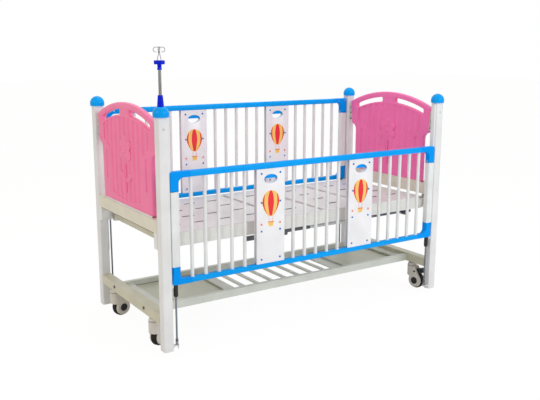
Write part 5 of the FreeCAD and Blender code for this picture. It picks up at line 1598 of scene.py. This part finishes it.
@dataclass
class SpringRods:
    """Gas-spring rods with an end fitting and a safety clip, each on a tab of its post."""

    x: float = 0.8273
    y: float = 0.408
    base: float = 0.0560
    top: float = 0.650
    radius: float = 0.0045
    piston: Point = (0.0088, 0.020)
    sleeve_radius: float = 0.0070
    post_face: float = 0.851
    tab_half: float = 0.0095
    tab_thickness: float = 0.006
    tab_low: float = 0.040

    def shaft(self) -> Piece:
        """Make a rod with its piston.

        Returns:
            The rod.
        """
        wide, length = self.piston
        r, step = self.radius, self.top - length
        return Bench.spun("rod", [(0.0, self.base), (r, self.base), (r, step), (wide, step), (wide, self.top),
                                  (0.0, self.top)], 32)

    def sleeve(self) -> Piece:
        """Make the collar at the rod's foot.

        Returns:
            The collar.
        """
        inner, outer, base = self.radius - 0.0005, self.sleeve_radius, self.base
        low, high = base + 0.017, base + 0.030
        profile = [(inner, low), (outer - 0.0006, low), (outer, low + 0.001), (outer, high - 0.002),
                   (outer - 0.0008, high), (inner, high), (inner, low)]
        return Bench.spun("sleeve", profile, 32)

    def fork(self) -> Piece:
        """Make the end fitting with its pin and safety clip.

        Returns:
            The fitting.
        """
        base, pin_z = self.base, self.base + 0.009
        fork = Bench.block("fork", (-0.0052, -0.0062, base - 0.0005), (0.0052, 0.0062, base + 0.018))
        Bench.soften(fork, 0.0016, 3)
        pin = Bench.rod("pin", (0.0, -0.0095, pin_z), (0.0, 0.0095, pin_z), 0.0030, 24)
        Bench.soften(pin, 0.0008, 2, 50)
        loop = [(0.0, -0.0085, base + 0.0145), (0.0, -0.0108, pin_z), (0.0010, -0.0115, base - 0.002),
                (0.0035, -0.0112, base - 0.012), (0.0005, -0.0110, base - 0.017),
                (-0.0025, -0.0110, base - 0.011)]
        return Bench.join("fork", [fork, pin, Bench.wire("clip", loop, 0.0012, smooth=True)])

    def tab(self) -> Piece:
        """Make the tab that stands out of the post towards the cot's middle, at the +X end.

        Returns:
            The tab.
        """
        half = self.tab_half
        near, far = self.x - half, self.post_face + 0.001
        corners = [(near, -half, 0.006), (far, -half, 0.0), (far, half, 0.0), (near, half, 0.006)]
        level = self.base - self.tab_thickness / 2
        tab = Bench.plate("tab", [rounded(corners, 4)], Plane.FLAT, level, self.tab_thickness, 0.0009, 2)
        web = [(far, self.tab_low), (far, level), (far - 0.018, level), (far - 0.004, self.tab_low)]
        Bench.work(tab, Bench.plate("web", [web], Plane.SIDE, 0.0, 0.006, 0.0), Cut.JOIN)
        return Bench.place(tab, moved(0.0, self.y, 0.0))

    def build(self) -> None:
        """Put a rod with its fitting, and its tab, at each corner."""
        corners = [(side_x, side_y) for side_x in SIDES for side_y in SIDES]
        stands = [moved(side_x * self.x, side_y * self.y, 0.0) @ spin(180.0 if side_y > 0 else 0.0, "Z")
                  for side_x, side_y in corners]
        mirrors = [Matrix.Diagonal((side_x, side_y, 1.0, 1.0)) for side_x, side_y in corners]
        for name, model, places, finish, slot, replaced in (
                ("spring_rod_shafts", self.shaft(), stands, ROD_STEEL, "bright_steel", ["spring_rods"]),
                ("spring_rod_sleeves", self.sleeve(), stands, DARK_STEEL, "dark_steel", []),
                ("spring_rod_forks", self.fork(), stands, SCREW_STEEL, "bright_steel", []),
                ("spring_rod_tabs", self.tab(), mirrors, POST_ENAMEL, "post_paint", ["rod_feet"])):
            deliver(name, Bench.repeat(model, places), finish, replaced, angle=34)


# ---------------------------------------------------------------------------------------------
# Deck and its lift drive
# ---------------------------------------------------------------------------------------------
@dataclass
class Deck:
    """Dark rims round the vents of the four deck sections, whose colour paints the shade inside the vent
    slots.
    """

    top: float = 0.595
    vent_length: float = 0.070
    vent_width: float = 0.010
    pitch_x: float = 0.151
    pitch_y: float = 0.139
    rows: int = 4
    shade_rim: float = 0.0016
    sections: tuple[tuple[str, str, float, float], ...] = (
        ("back", "back_lift", -0.840, -0.174), ("seat", "frame", -0.144, 0.097),
        ("thigh", "frame", 0.127, 0.417), ("calf", "frame", 0.447, 0.840))

    def painted_vent_shade(self) -> Piece:
        """Make the dark rim of one vent, about the origin; its colour paints the shade inside the vent slot.

        Returns:
            The dark rim.
        """
        half_x, half_y = self.vent_length / 2 - 0.0006, self.vent_width / 2 - 0.0006
        corners = [(half_x, half_y), (-half_x, half_y), (-half_x, -half_y), (half_x, -half_y)]
        path = rounded([(x, y, 0.0022) for x, y in corners], 3)
        return Bench.wire("shade_rim", [(x, y, 0.0) for x, y in path], self.shade_rim, closed=True)

    def build(self) -> None:
        """Put the dark rim of painted shade round every vent, as one piece for each section."""
        level = self.top - 0.0004
        rows = [(row - (self.rows - 1) / 2) * self.pitch_y for row in range(self.rows)]
        for name, body, low, high in self.sections:
            count = max(1, int((high - low) // self.pitch_x))
            columns = [(low + high) / 2 + (n - (count - 1) / 2) * self.pitch_x for n in range(count)]
            # Painted shade: dark rims round the vents.
            rims = Bench.repeat(self.painted_vent_shade(), [moved(x, y, level) for x in columns for y in rows])
            deliver(name + "_painted_vent_shade", rims, PAINTED_VENT_SHADE, body=body, angle=60)


@dataclass
class Shelf:
    """Dark strips round the shelf's trays, which paint the shade in the creases where the trays meet the
    rails and end plates.
    """

    floor: float = 0.176
    rail_y: float = 0.200
    inner_x: float = 0.411
    outer_x: float = 0.790
    width: float = 0.0042

    def build(self) -> None:
        """Lay a thin dark strip of painted shade along each side of both trays."""
        # Painted shade: dark strips in the creases round the trays.
        strips = []
        low, high = self.floor - 0.0004, self.floor + 0.0010
        for side in SIDES:
            near, far = sorted((side * self.inner_x, side * self.outer_x))
            for end in SIDES:
                one, other = sorted((end * self.rail_y, end * (self.rail_y - self.width)))
                strips.append(Bench.block("joint", (near, one, low), (far, other, high)))
            for x, lead in ((self.outer_x, -1), (self.inner_x, 1)):
                one, other = sorted((side * x, side * (x + lead * self.width)))
                strips.append(Bench.block("joint", (one, -self.rail_y, low), (other, self.rail_y, high)))
        crease_shades = Bench.soften(Bench.join("tray_crease_shade_strips", strips), 0.0004, 1)
        hand_over(dress(crease_shades, PAINTED_GAP_SHADE), "frame")


@dataclass
class PushRod:
    """Push rod of the back section's lift: fork, guide bar and tube with its nut."""

    y: float = -0.215
    z: float = 0.478
    pin_x: float = -0.0959
    slot_half: float = 0.0072
    slot_z: tuple[float, float] = (0.4608, 0.4951)
    slot_corner: float = 0.005
    edge: float = 0.006
    fork_length: float = 0.044
    cheek: tuple[float, float] = (0.0045, 0.0095)
    tube_start: float = -0.0749
    tube_joint: float = 0.100
    tube_end: float = 0.350
    radius: float = 0.012
    chamfer: float = 0.0012
    bore: float = 0.0078
    nut_radius: float = 0.0128
    nut_length: float = 0.030
    guide_end: float = -0.322
    guide_half: float = 0.011
    guide_z: tuple[float, float] = (0.4555, 0.4775)

    def along(self, piece: Piece) -> Piece:
        """Lay a piece that was made about the Z axis along the drive's axis."""
        return Bench.place(piece, moved(0.0, self.y, self.z) @ spin(90.0, "Y"))

    def sleeve(self, name: str, start: float, end: float, radius: float) -> Piece:
        """Make a tube along the drive's axis, with chamfered ends.

        Args:
            name: the tube's name.
            start: where it starts along X.
            end: where it ends.
            radius: its outer radius.

        Returns:
            The tube.
        """
        return self.along(Bench.spun(name, collar_profile(self.bore, radius, start, end, self.chamfer), 32))

    def fork(self) -> list[Piece]:
        """Make the two slotted cheeks and the hollow guide bar.

        Returns:
            The three shapes.
        """
        (low, high), (near, far), edge = self.slot_z, self.cheek, self.edge
        left, slot_right = self.pin_x - self.slot_half, self.pin_x + self.slot_half
        right = left + self.fork_length
        slot = box(left, slot_right, low, high, self.slot_corner, 5)
        outline = box(left - edge, right + edge, low - edge, high + edge, edge, 5)
        shapes = [Bench.plate("cheek", [outline, slot], Plane.SIDE, self.y + side * (near + far) / 2,
                              far - near, 0.0008) for side in SIDES]
        bottom, top = self.guide_z
        guide = Bench.block("guide", (self.guide_end, self.y - self.guide_half, bottom),
                            (left - edge + 0.0012, self.y + self.guide_half, top))
        Bench.press(guide, lambda face: face.normal.x < -0.99, 0.0022, 0.020)
        return shapes + [Bench.soften(guide, 0.0012, 2)]

    def nut(self) -> Piece:
        """Make the nut at the tube's end, bored for the spindle.

        Returns:
            The nut.
        """
        end = self.tube_end
        blank = Bench.rod("nut", (0.0, 0.0, end - self.nut_length), (0.0, 0.0, end), self.nut_radius, 6)
        nut = self.along(blank)
        return Bench.work(nut, Bench.rod("bore", (end - 0.04, self.y, self.z), (end + 0.01, self.y, self.z),
                                         self.bore))

    def build(self) -> None:
        """Build the fork with its guide bar and dark sleeve, then the bright tube with its nut."""
        sleeve = self.sleeve("dark_sleeve", self.tube_start, self.tube_joint, self.radius)
        deliver("push_rod_fork", self.fork() + [sleeve], DARK_STEEL, ["push_rod"],
                body="push_rod", angle=34)
        tube = self.sleeve("bright_tube", self.tube_joint - 0.002, self.tube_end - self.nut_length + 0.002,
                           self.radius - self.chamfer)
        deliver("push_rod_tube", [tube, self.nut()], ZINC, body="push_rod", angle=34)


@dataclass
class CrankGrip:
    """Folding grip of the crank, with its knuckle on the arm."""

    pivot: Place = (0.884, -0.120, 0.478)
    radius: float = 0.0078
    length: float = 0.084
    knuckle: float = 0.009
    pin_hole: float = 0.0031

    def build(self) -> None:
        """Turn the waisted barrel and set it on its knuckle."""
        r, end, half = self.radius, self.length, self.knuckle
        profile = [(0.0, 0.006), (r * 0.70, 0.006), (r * 0.74, 0.012), (r * 0.98, 0.015), (r, 0.018)]
        profile += [(r * (0.94 + 0.06 * math.cos(2 * math.pi * t)), 0.018 + (end - 0.030) * t)
                    for t in (n / 10 for n in range(1, 11))]
        profile += arc((0.0, end - r * 0.8), r, 40.0, 90.0, 6)[:-1] + [(0.0, end + r * 0.2)]
        barrel = Bench.place(Bench.spun("barrel", profile, 40), spin(90.0, "X"))
        knuckle = Bench.spun("knuckle", collar_profile(self.pin_hole, half, -half, half, 0.001), 32)
        shapes = [Bench.place(shape, moved(*self.pivot)) for shape in (barrel, knuckle)]
        deliver("crank_handle", shapes, SOFT_BLACK, ["crank_grip"], "crank_grip")


# ---------------------------------------------------------------------------------------------
# Castors
# ---------------------------------------------------------------------------------------------
@dataclass
class Castors:
    """Four twin-cover castors, modelled once about the stem with the wheel trailing along +X."""

    x: float = 0.876
    y: float = 0.255
    trail: float = 0.036
    wheel_radius: float = 0.050
    wheel_half: float = 0.0165
    rim_radius: float = 0.037
    cover_radius: float = 0.0430
    nose_radius: float = 0.028
    half_width: float = 0.028
    top: float = 0.1397
    back: float = 0.030
    hood_bottom: float = 0.078
    slot_half: float = 0.018
    stem_radius: float = 0.006
    cup_top: float = 0.1560
    beam: float = 0.163
    hub_radius: float = 0.0215
    # A dark disc on each cover paints the shade of a small hole.
    hole_shade_height: float = 0.108
    hole_shade_radius: float = 0.0064
    seam: float = 0.0019
    race_bore: float = 0.0063
    race_lap: float = 0.0002
    pedal_pivot: Point = (0.040, 0.112)
    pedal_half: float = 0.017
    pedal_side: tuple[Point, ...] = (
        (-7, 2), (8, 13), (34, 20), (58, 15), (66, 5), (62, -3), (40, -7), (20, -11.5), (6, -8.5), (-5, -6))
    rib_count: int = 4
    rib_radius: float = 0.0014
    headings: dict[str, float] = field(default_factory=lambda: {
        "head_front": 28.5, "head_back": 11.5, "foot_front": -78.5, "foot_back": 100.0})

    def place(self, corner: str) -> Matrix:
        """Find where one castor stands, and which way it trails.

        Args:
            corner: the corner's name.

        Returns:
            The castor's place.
        """
        side_x = -1 if corner.startswith("head") else 1
        side_y = -1 if corner.endswith("front") else 1
        return moved(side_x * self.x, side_y * self.y, 0.0) @ spin(self.headings[corner], "Z")

    def cover_outline(self) -> list[Point]:
        """Draw the side view: a hood over the nose, a sloping back and a round cover.

        Returns:
            The outline's points.
        """
        centre = (self.trail, self.wheel_radius)
        gap = (centre[0] - self.back, centre[1] - self.top)
        distance = math.hypot(*gap)
        lean = math.atan2(gap[1], gap[0]) + math.asin(self.cover_radius / distance)
        touch = math.degrees(lean) + 90.0
        corners = [(-self.nose_radius, self.top, 0.006), (self.back, self.top, 0.010)]
        corners += sharp(arc(centre, self.cover_radius, touch, -205.0, 30))
        corners += [(-0.007, self.hood_bottom - 0.003, 0.012), (-self.nose_radius, self.hood_bottom, 0.003)]
        return rounded(corners, 6)

    def shell(self) -> Piece:
        """Make the housing with rounded covers, open round the wheel and behind for the pedal.

        Returns:
            The housing.
        """
        shell = Bench.plate("shell", [self.cover_outline()], Plane.SIDE, 0.0, 2 * self.half_width, 0.0075, 5)
        nose = Bench.rod("nose", (0.0, 0.0, -0.01), (0.0, 0.0, 0.15), self.nose_radius, 64)
        tail = Bench.block("tail", (0.0, -0.04, -0.01), (0.12, 0.04, 0.15))
        Bench.work(shell, Bench.work(nose, tail, Cut.JOIN), Cut.KEEP_SHARED)
        Bench.work(shell, self.cross_rod("wheel_space", self.slot_half, self.wheel_radius + 0.003, 64))
        half = self.pedal_half + 0.0006
        Bench.work(shell, Bench.block("pedal_space", (self.pedal_pivot[0] - 0.012, -half, self.wheel_radius),
                                      (0.14, half, 0.15)))
        return Bench.work(shell, Bench.rod("stem_space", (0.0, 0.0, 0.105), (0.0, 0.0, 0.15), self.race_bore))

    def cross_rod(self, name: str, half: float, radius: float, sides: int = 32) -> Piece:
        """Make a cylinder about the axle.

        Args:
            name: the cylinder's name.
            half: half its length.
            radius: its radius.
            sides: number of flat sides.

        Returns:
            The cylinder.
        """
        return Bench.rod(name, (self.trail, -half, self.wheel_radius), (self.trail, half, self.wheel_radius),
                         radius, sides)

    def hub_caps(self) -> Piece:
        """Make domed hub caps, a dark disc on both covers that paints the shade of a small hole, and the axle
        between them.

        Returns:
            The caps, the painted hole-shade discs and the axle.
        """
        parts = []
        r, face, hole_shade_x = self.hub_radius, self.half_width, self.trail - 0.002
        profile = [(0.0, face - 0.002), (r, face - 0.002), (r, face + 0.0012), (r - 0.0008, face + 0.0022),
                   (r - 0.0030, face + 0.0028), (r * 0.5, face + 0.0034), (0.0, face + 0.0036)]
        for side in SIDES:
            stand = moved(self.trail, 0.0, self.wheel_radius) @ spin(-90.0 * side, "X")
            parts.append(Bench.place(Bench.spun("hub_cap", profile, 48), stand))
            # Painted shade: the dark disc stands for the shade inside a small hole in the cover.
            parts.append(Bench.rod("hole_shade", (hole_shade_x, side * (face - 0.0010), self.hole_shade_height),
                                   (hole_shade_x, side * (face + 0.0005), self.hole_shade_height), self.hole_shade_radius, 24))
        return Bench.join("hub_caps", parts + [self.cross_rod("axle", self.half_width, self.stem_radius)])

    def ring(self, name: str, profile: Sequence[Point]) -> Piece:
        """Turn a profile about the axle."""
        stand = moved(self.trail, 0.0, self.wheel_radius) @ spin(90.0, "X")
        return Bench.place(Bench.spun(name, profile, 72), stand)

    @staticmethod
    def mirrored(points: Sequence[Point]) -> list[Point]:
        """The same points of a wheel's profile on its other side, in the opposite order."""
        return [(radius, -y) for radius, y in reversed(points)]

    def tyre(self) -> Piece:
        """Make the tyre with round shoulders and a slightly crowned tread.

        Returns:
            The tyre.
        """
        r, w, inner = self.wheel_radius, self.wheel_half, self.rim_radius
        right = [(r, 0.0), (r, 0.0050), (r - 0.0004, 0.0095), (r - 0.0016, 0.0125), (r - 0.0036, 0.0150),
                 (r - 0.0064, w), (inner + 0.0020, w), (inner, w - 0.0016)]
        return self.ring("tyre", [(inner, 0.0)] + self.mirrored(right) + right[1:] + [(inner, 0.0)])

    def wheel_core(self) -> Piece:
        """Make the dished wheel core inside the tyre.

        Returns:
            The core.
        """
        right = [(0.0062, 0.0152), (0.0130, 0.0152), (0.0150, 0.0140), (0.0170, 0.0080), (0.0290, 0.0080),
                 (0.0325, 0.0140), (0.0340, 0.0148), (self.rim_radius, 0.0148)]
        return self.ring("wheel_core", right + self.mirrored(right) + [right[0]])

    @staticmethod
    def pedal_top(along: float) -> float:
        """Height of the pedal's top over its pivot, that far behind it, both in millimetres."""
        return 13.0 + (along - 8.0) * 7.0 / 26.0 if along < 34.0 else 20.0 - (along - 34.0) * 5.0 / 24.0

    def pedal(self) -> Piece:
        """Make the brake pedal with grip ribs across its top, and its pivot pins.

        Returns:
            The pedal.
        """
        x, z = self.pedal_pivot
        outline = rounded([(x + a * MM, z + b * MM, 0.0015) for a, b in self.pedal_side], 3)
        parts = [Bench.plate("lever", [outline], Plane.SIDE, 0.0, 2 * self.pedal_half, 0.0024, 3)]
        half = self.pedal_half - 0.003
        for number in range(self.rib_count):
            along = 24.0 + 9.0 * number
            rib_x, rib_z = x + along * MM, z + self.pedal_top(along) * MM - 0.0006
            parts.append(Bench.rod("rib", (rib_x, -half, rib_z), (rib_x, half, rib_z), self.rib_radius, 12))
        reach = self.pedal_half + 0.0056
        return Bench.join("pedal", parts + [Bench.rod("pin", (x, -reach, z), (x, reach, z), 0.003, 24)])

    def cup(self) -> Piece:
        """Make the swivel cup that narrows upwards, with its pin.

        Returns:
            The cup.
        """
        low, high, r = self.top + self.seam, self.cup_top, self.nose_radius
        profile = [(0.0, low), (r - 0.0010, low), (r - 0.0002, low + 0.0010), (r - 0.0004, low + 0.0040),
                   (r - 0.0014, low + 0.0075), (r - 0.0034, low + 0.0110), (r - 0.0058, low + 0.0135),
                   (0.0212, high), (0.0, high)]
        pin = Bench.rod("pin", (0.0, 0.0, 0.112), (0.0, 0.0, low + 0.002), self.stem_radius)
        return Bench.join("cup", [Bench.spun("cup", profile, 56), pin])

    def washer(self) -> Piece:
        """Make the bearing ring between the cup and the beam, and the race under the cup, whose dark colour
        paints the shadow line in the seam.

        Returns:
            The two rings.
        """
        low, outer = self.cup_top - self.race_lap, 0.0204
        inner, wide = self.race_bore, self.nose_radius - 0.0006
        race_low, race_high = self.top - self.race_lap, self.top + self.seam
        # Painted shade: the dark race stands for the shadow in the seam under the cup.
        race = [(inner, race_low), (wide, race_low), (wide, race_high), (inner, race_high), (inner, race_low)]
        ring = [(0.0, low), (outer - 0.0008, low), (outer, low + 0.0008), (outer, self.beam),
                (0.0, self.beam)]
        return Bench.join("washer", [Bench.spun("ring", ring, 48), Bench.spun("race", race, 48)])

    def build(self) -> None:
        """Model the pieces of one castor, and copy each to the four corners."""
        places = [self.place(corner) for corner in self.headings]
        cups = Bench.repeat(self.cup(), places)
        deliver("castor_cups", cups, CASTOR_GREY, ["castor_stems"])
        deliver("castor_bearing_rings_and_seam_shadow", Bench.repeat(self.washer(), places), RING_AND_SEAM_SHADOW)
        for name, model, angle, finish, body, slot, replaced in (
                ("castor_shell_", self.shell(), 30, CASTOR_GREY, "castor_", "castor_plastic",
                 ["castor_housing_"]),
                ("castor_hub_caps_", self.hub_caps(), 35, HUB_BLACK, "castor_", "black_plastic", []),
                ("castor_tyre_", self.tyre(), 45, TYRE_BLACK, "wheel_", "tyre_rubber", ["castor_wheel_"]),
                ("castor_wheel_core_", self.wheel_core(), 35, CASTOR_GREY, "wheel_", "castor_plastic", []),
                ("castor_lever_", self.pedal(), 35, PEDAL_BLACK, "pedal_", "black_plastic",
                 ["castor_pedal_"])):
            for corner, piece in zip(self.headings, Bench.repeat(model, places)):
                deliver(name + corner, [piece], finish, [node + corner for node in replaced],
                        body + corner, angle)


# ---------------------------------------------------------------------------------------------
# Infusion pole
# ---------------------------------------------------------------------------------------------
@dataclass
class InfusionPole:
    """Pole in the front post at the head end, with its clamp collar, head and hooks."""

    x: float = -0.876
    y: float = -0.400
    collar_low: float = 1.1993
    collar_height: float = 0.052
    collar_radii: tuple[float, float] = (0.0155, 0.0115)
    flutes: int = 8
    flute_radius: float = 0.0023
    radius: float = 0.007
    low: float = 0.624
    head: float = 1.362
    head_bore: float = 0.012
    disc: float = 1.386
    disc_top: float = 1.404
    disc_radius: float = 0.0245
    knot: float = 1.436
    wire: float = 0.0018
    hook_count: int = 4
    hook_reach: float = 0.026
    hook_radius: float = 0.0105
    hook_rise: float = 0.025
    first_hook: float = -33.0

    def tube(self) -> Piece:
        """Make the pole itself."""
        r, top = self.radius, self.head + self.head_bore
        return Bench.spun("pole", [(0.0, self.low), (r - 0.001, self.low), (r, self.low + 0.001), (r, top),
                                   (0.0, top)], 40)

    def collar(self) -> Piece:
        """Make the fluted cone that screws down on the post's cap.

        Returns:
            The collar.
        """
        low, high = self.collar_low, self.collar_low + self.collar_height
        wide, slim = self.collar_radii
        bore = self.radius + 0.0003
        profile = [(bore, low), (wide - 0.0008, low), (wide, low + 0.0008), (wide, low + 0.0040),
                   (slim, high - 0.0012), (slim - 0.0012, high), (bore, high), (bore, low)]
        collar = Bench.spun("collar", profile, 64)
        for number in range(self.flutes):
            turn = math.radians(360.0 * number / self.flutes)
            out = Vector((math.cos(turn), math.sin(turn), 0.0))
            start = out * (wide + 0.0007) + Vector((0.0, 0.0, low + 0.006))
            end = out * (slim + 0.0010) + Vector((0.0, 0.0, high + 0.004))
            Bench.work(collar, Bench.rod("flute", start, end, self.flute_radius, 16))
        return collar

    def head_piece(self) -> Piece:
        """Make the moulded head: a stem with a flared foot under a thick disc.

        Returns:
            The head.
        """
        low, neck, top, r = self.head, self.disc, self.disc_top, self.disc_radius
        profile = [(self.radius, low), (0.0102, low), (0.0108, low + 0.0010), (0.0104, low + 0.0045),
                   (0.0096, low + 0.0090), (0.0094, neck - 0.0030), (0.0102, neck - 0.0010), (0.0120, neck)]
        profile += arc((r - 0.0030, neck + 0.0030), 0.0030, -90.0, 0.0, 5)
        profile += arc((r - 0.0025, top - 0.0025), 0.0025, 0.0, 90.0, 5)
        end = low + self.head_bore
        profile += [(0.0, top), (0.0, end), (self.radius, end), (self.radius, low)]
        return Bench.spun("head", profile, 56)

    def hooks(self) -> Piece:
        """Make two legs, an upright and the hooks of round wire.

        Returns:
            The wires.
        """
        base, knot, top = self.disc_top, self.knot, self.knot + self.hook_rise
        leg = ((0.0075, base - 0.003), (0.0078, base + 0.006), (0.0062, base + 0.014), (0.0028, knot - 0.006),
               (0.0012, knot + 0.003))
        parts = [Bench.wire("leg", [(side * x, 0.0, z) for x, z in leg], self.wire, smooth=True)
                 for side in SIDES]
        parts.append(Bench.wire("upright", [(0.0, 0.0, knot), (0.0, 0.0, top + 0.0030)], self.wire * 1.4))
        bend = self.hook_reach - self.hook_radius
        curl = arc((bend, top - self.hook_radius), self.hook_radius, 90.0, -110.0, 12)
        path = [(0.0, 0.0, top), (bend * 0.5, 0.0, top)] + [(x, 0.0, z) for x, z in curl]
        turns = [spin(360.0 * number / self.hook_count, "Z") for number in range(self.hook_count)]
        return Bench.join("hooks", parts + Bench.repeat(Bench.wire("hook", path, self.wire), turns))

    def knot_ring(self) -> Piece:
        """Make the ring that ties the wires together."""
        profile = [(0.0, 0.0), (0.0036, 0.0), (0.0046, 0.0012), (0.0046, 0.0058), (0.0036, 0.0070),
                   (0.0, 0.0070)]
        return Bench.place(Bench.spun("knot", profile, 32), moved(0.0, 0.0, self.knot))

    def build(self) -> None:
        """Fit the pole's pieces on the post."""
        stand = moved(self.x, self.y, 0.0) @ spin(self.first_hook, "Z")
        for name, piece, finish, body, slot, replaced in (
                ("pole_tube", self.tube(), POLE_STEEL, "pole", "pole_chrome", ["infusion_pole"]),
                ("pole_clamp_collar", self.collar(), ROYAL_BLUE, "collar", "royal_plastic", ["pole_collar"]),
                ("pole_head_moulding", self.head_piece(), ROYAL_BLUE, "pole", "royal_plastic", ["pole_head"]),
                ("pole_hook_wires", self.hooks(), SCREW_STEEL, "pole", "bright_steel", ["pole_hooks"]),
                ("pole_hook_knot", self.knot_ring(), KNOT_BRASS, "pole", "bright_steel", [])):
            deliver(name, [Bench.place(piece, stand)], finish, replaced, body)


# ---------------------------------------------------------------------------------------------
# Studio
# ---------------------------------------------------------------------------------------------
@dataclass
class Studio:
    """Camera, lamps, floor and backdrop."""

    eye: Place = (-2.26868, -3.39501, 1.45353)
    heading: float = 33.497
    tilt: float = 11.7535
    roll: float = 0.1588
    lens: float = 48.35
    sensor: float = 36.0
    clip_end: float = 50.0
    aim: Place = (0.0, 0.0, 0.6)
    lamps: tuple[tuple[str, Place, float, float, Colour], ...] = (
        ("key", (1.2, -4.2, 2.6), 2.4, 68.0, (0.91, 0.955, 1.0)),
        ("left_fill", (-4.0, -0.6, 2.6), 2.2, 24.0, (1.0, 0.90, 0.75)),
        ("top", (0.2, 0.4, 4.2), 2.6, 31.0, (1.0, 1.0, 1.0)))
    world_level: float = 0.62
    world_tint: Colour = (1.0, 0.975, 0.92)
    floor_size: float = 60.0
    floor_grey: float = 0.9
    floor_glow: float = 1.03
    floor_share: float = 0.92

    def camera(self) -> None:
        """Set up the camera."""
        heading, tilt = math.radians(self.heading), math.radians(self.tilt)
        level = math.cos(tilt)
        ahead = Vector((math.sin(heading) * level, math.cos(heading) * level, -math.sin(tilt)))
        right = Vector((math.cos(heading), -math.sin(heading), 0.0))
        up = right.cross(ahead)
        lean = Matrix.Rotation(-math.radians(self.roll), 3, ahead)
        right, up = lean @ right, lean @ up
        data = bpy.data.cameras.new("camera")
        data.lens, data.sensor_width, data.clip_end = self.lens, self.sensor, self.clip_end
        camera = bpy.data.objects.new("camera", data)
        x, y, z = self.eye
        camera.matrix_world = Matrix((
            (right.x, up.x, -ahead.x, x),
            (right.y, up.y, -ahead.y, y),
            (right.z, up.z, -ahead.z, z),
            (0.0, 0.0, 0.0, 1.0),
        ))
        bpy.context.scene.collection.objects.link(camera)
        bpy.context.scene.camera = camera

    def lamp(self, name: str, place: Place, size: float, power: float, colour: Colour) -> None:
        """Add a square soft lamp that points at the cot.

        Args:
            name: the lamp's name.
            place: where it stands.
            size: length of its sides.
            power: its power in watts.
            colour: its colour.
        """
        data = bpy.data.lights.new(name, "AREA")
        data.size, data.energy, data.color = size, power, colour
        lamp = bpy.data.objects.new(name, data)
        lamp.location = place
        lamp.rotation_mode = "QUATERNION"
        lamp.rotation_quaternion = (Vector(self.aim) - Vector(place)).to_track_quat("-Z", "Y")
        bpy.context.scene.collection.objects.link(lamp)

    def world(self) -> None:
        """Light evenly from all round, and show plain white behind."""
        world = bpy.data.worlds.new("world")
        bpy.context.scene.world = world
        world.use_nodes = True
        nodes, links = world.node_tree.nodes, world.node_tree.links
        seen = nodes.new("ShaderNodeLightPath")
        either = nodes.new("ShaderNodeMath")
        either.operation = "MAXIMUM"
        links.new(seen.outputs["Is Camera Ray"], either.inputs[0])
        links.new(seen.outputs["Is Glossy Ray"], either.inputs[1])
        level = nodes.new("ShaderNodeMapRange")
        level.inputs["To Min"].default_value = self.world_level
        level.inputs["To Max"].default_value = 1.0
        links.new(either.outputs["Value"], level.inputs["Value"])
        links.new(level.outputs["Result"], nodes["Background"].inputs["Strength"])
        tint = nodes.new("ShaderNodeMix")
        tint.data_type = "RGBA"
        tint.inputs[6].default_value = (*self.world_tint, 1.0)
        tint.inputs[7].default_value = (1.0, 1.0, 1.0, 1.0)
        links.new(either.outputs["Value"], tint.inputs[0])
        links.new(tint.outputs[2], nodes["Background"].inputs["Color"])

    def floor(self) -> None:
        """Lay the pale floor, which shows nearly white and keeps the shadow."""
        Bench.clear_selection()
        bpy.ops.mesh.primitive_plane_add(size=self.floor_size, location=(0.0, 0.0, 0.0))
        ground = bpy.context.active_object
        ground.name = "studio_floor"
        graph = NodeGraph("studio_floor")
        graph.shader.inputs["Base Color"].default_value = (*(self.floor_grey,) * 3, 1.0)
        graph.shader.inputs["Roughness"].default_value = 0.9
        graph.shader.inputs["Specular IOR Level"].default_value = 0.0
        glow = graph.add("ShaderNodeEmission", Strength=self.floor_glow)
        seen = graph.add("ShaderNodeLightPath")
        mix = graph.add("ShaderNodeMixShader")
        graph.link(graph.spread(seen.outputs["Is Camera Ray"], 0.0, self.floor_share), mix.inputs["Fac"])
        graph.link(graph.shader.outputs["BSDF"], mix.inputs[1])
        graph.link(glow.outputs["Emission"], mix.inputs[2])
        graph.link(mix.outputs["Shader"], graph.nodes["Material Output"].inputs["Surface"])
        ground.data.materials.append(graph.material)

    def build(self) -> None:
        """Set up everything round the cot."""
        bpy.context.scene.view_settings.view_transform = "Standard"
        self.camera()
        self.world()
        self.floor()
        for lamp in self.lamps:
            self.lamp(*lamp)


def main() -> None:
    """Build the cot's finished surfaces in order."""
    logging.basicConfig(level=logging.INFO, format="%(name)s: %(message)s")
    Bench.clear_selection()
    FrameDressing().build()
    Studio().build()
    PostSet().build()
    EndBoard("headboard", -1, HEAD_PINK).build()
    EndBoard("footboard", 1, FOOT_PINK).build()
    EndBeams().build()
    SideRail().build()
    SpringRods().build()
    Deck().build()
    Shelf().build()
    PushRod().build()
    CrankGrip().build()
    Castors().build()
    InfusionPole().build()


if __name__ == "__main__":
    main()
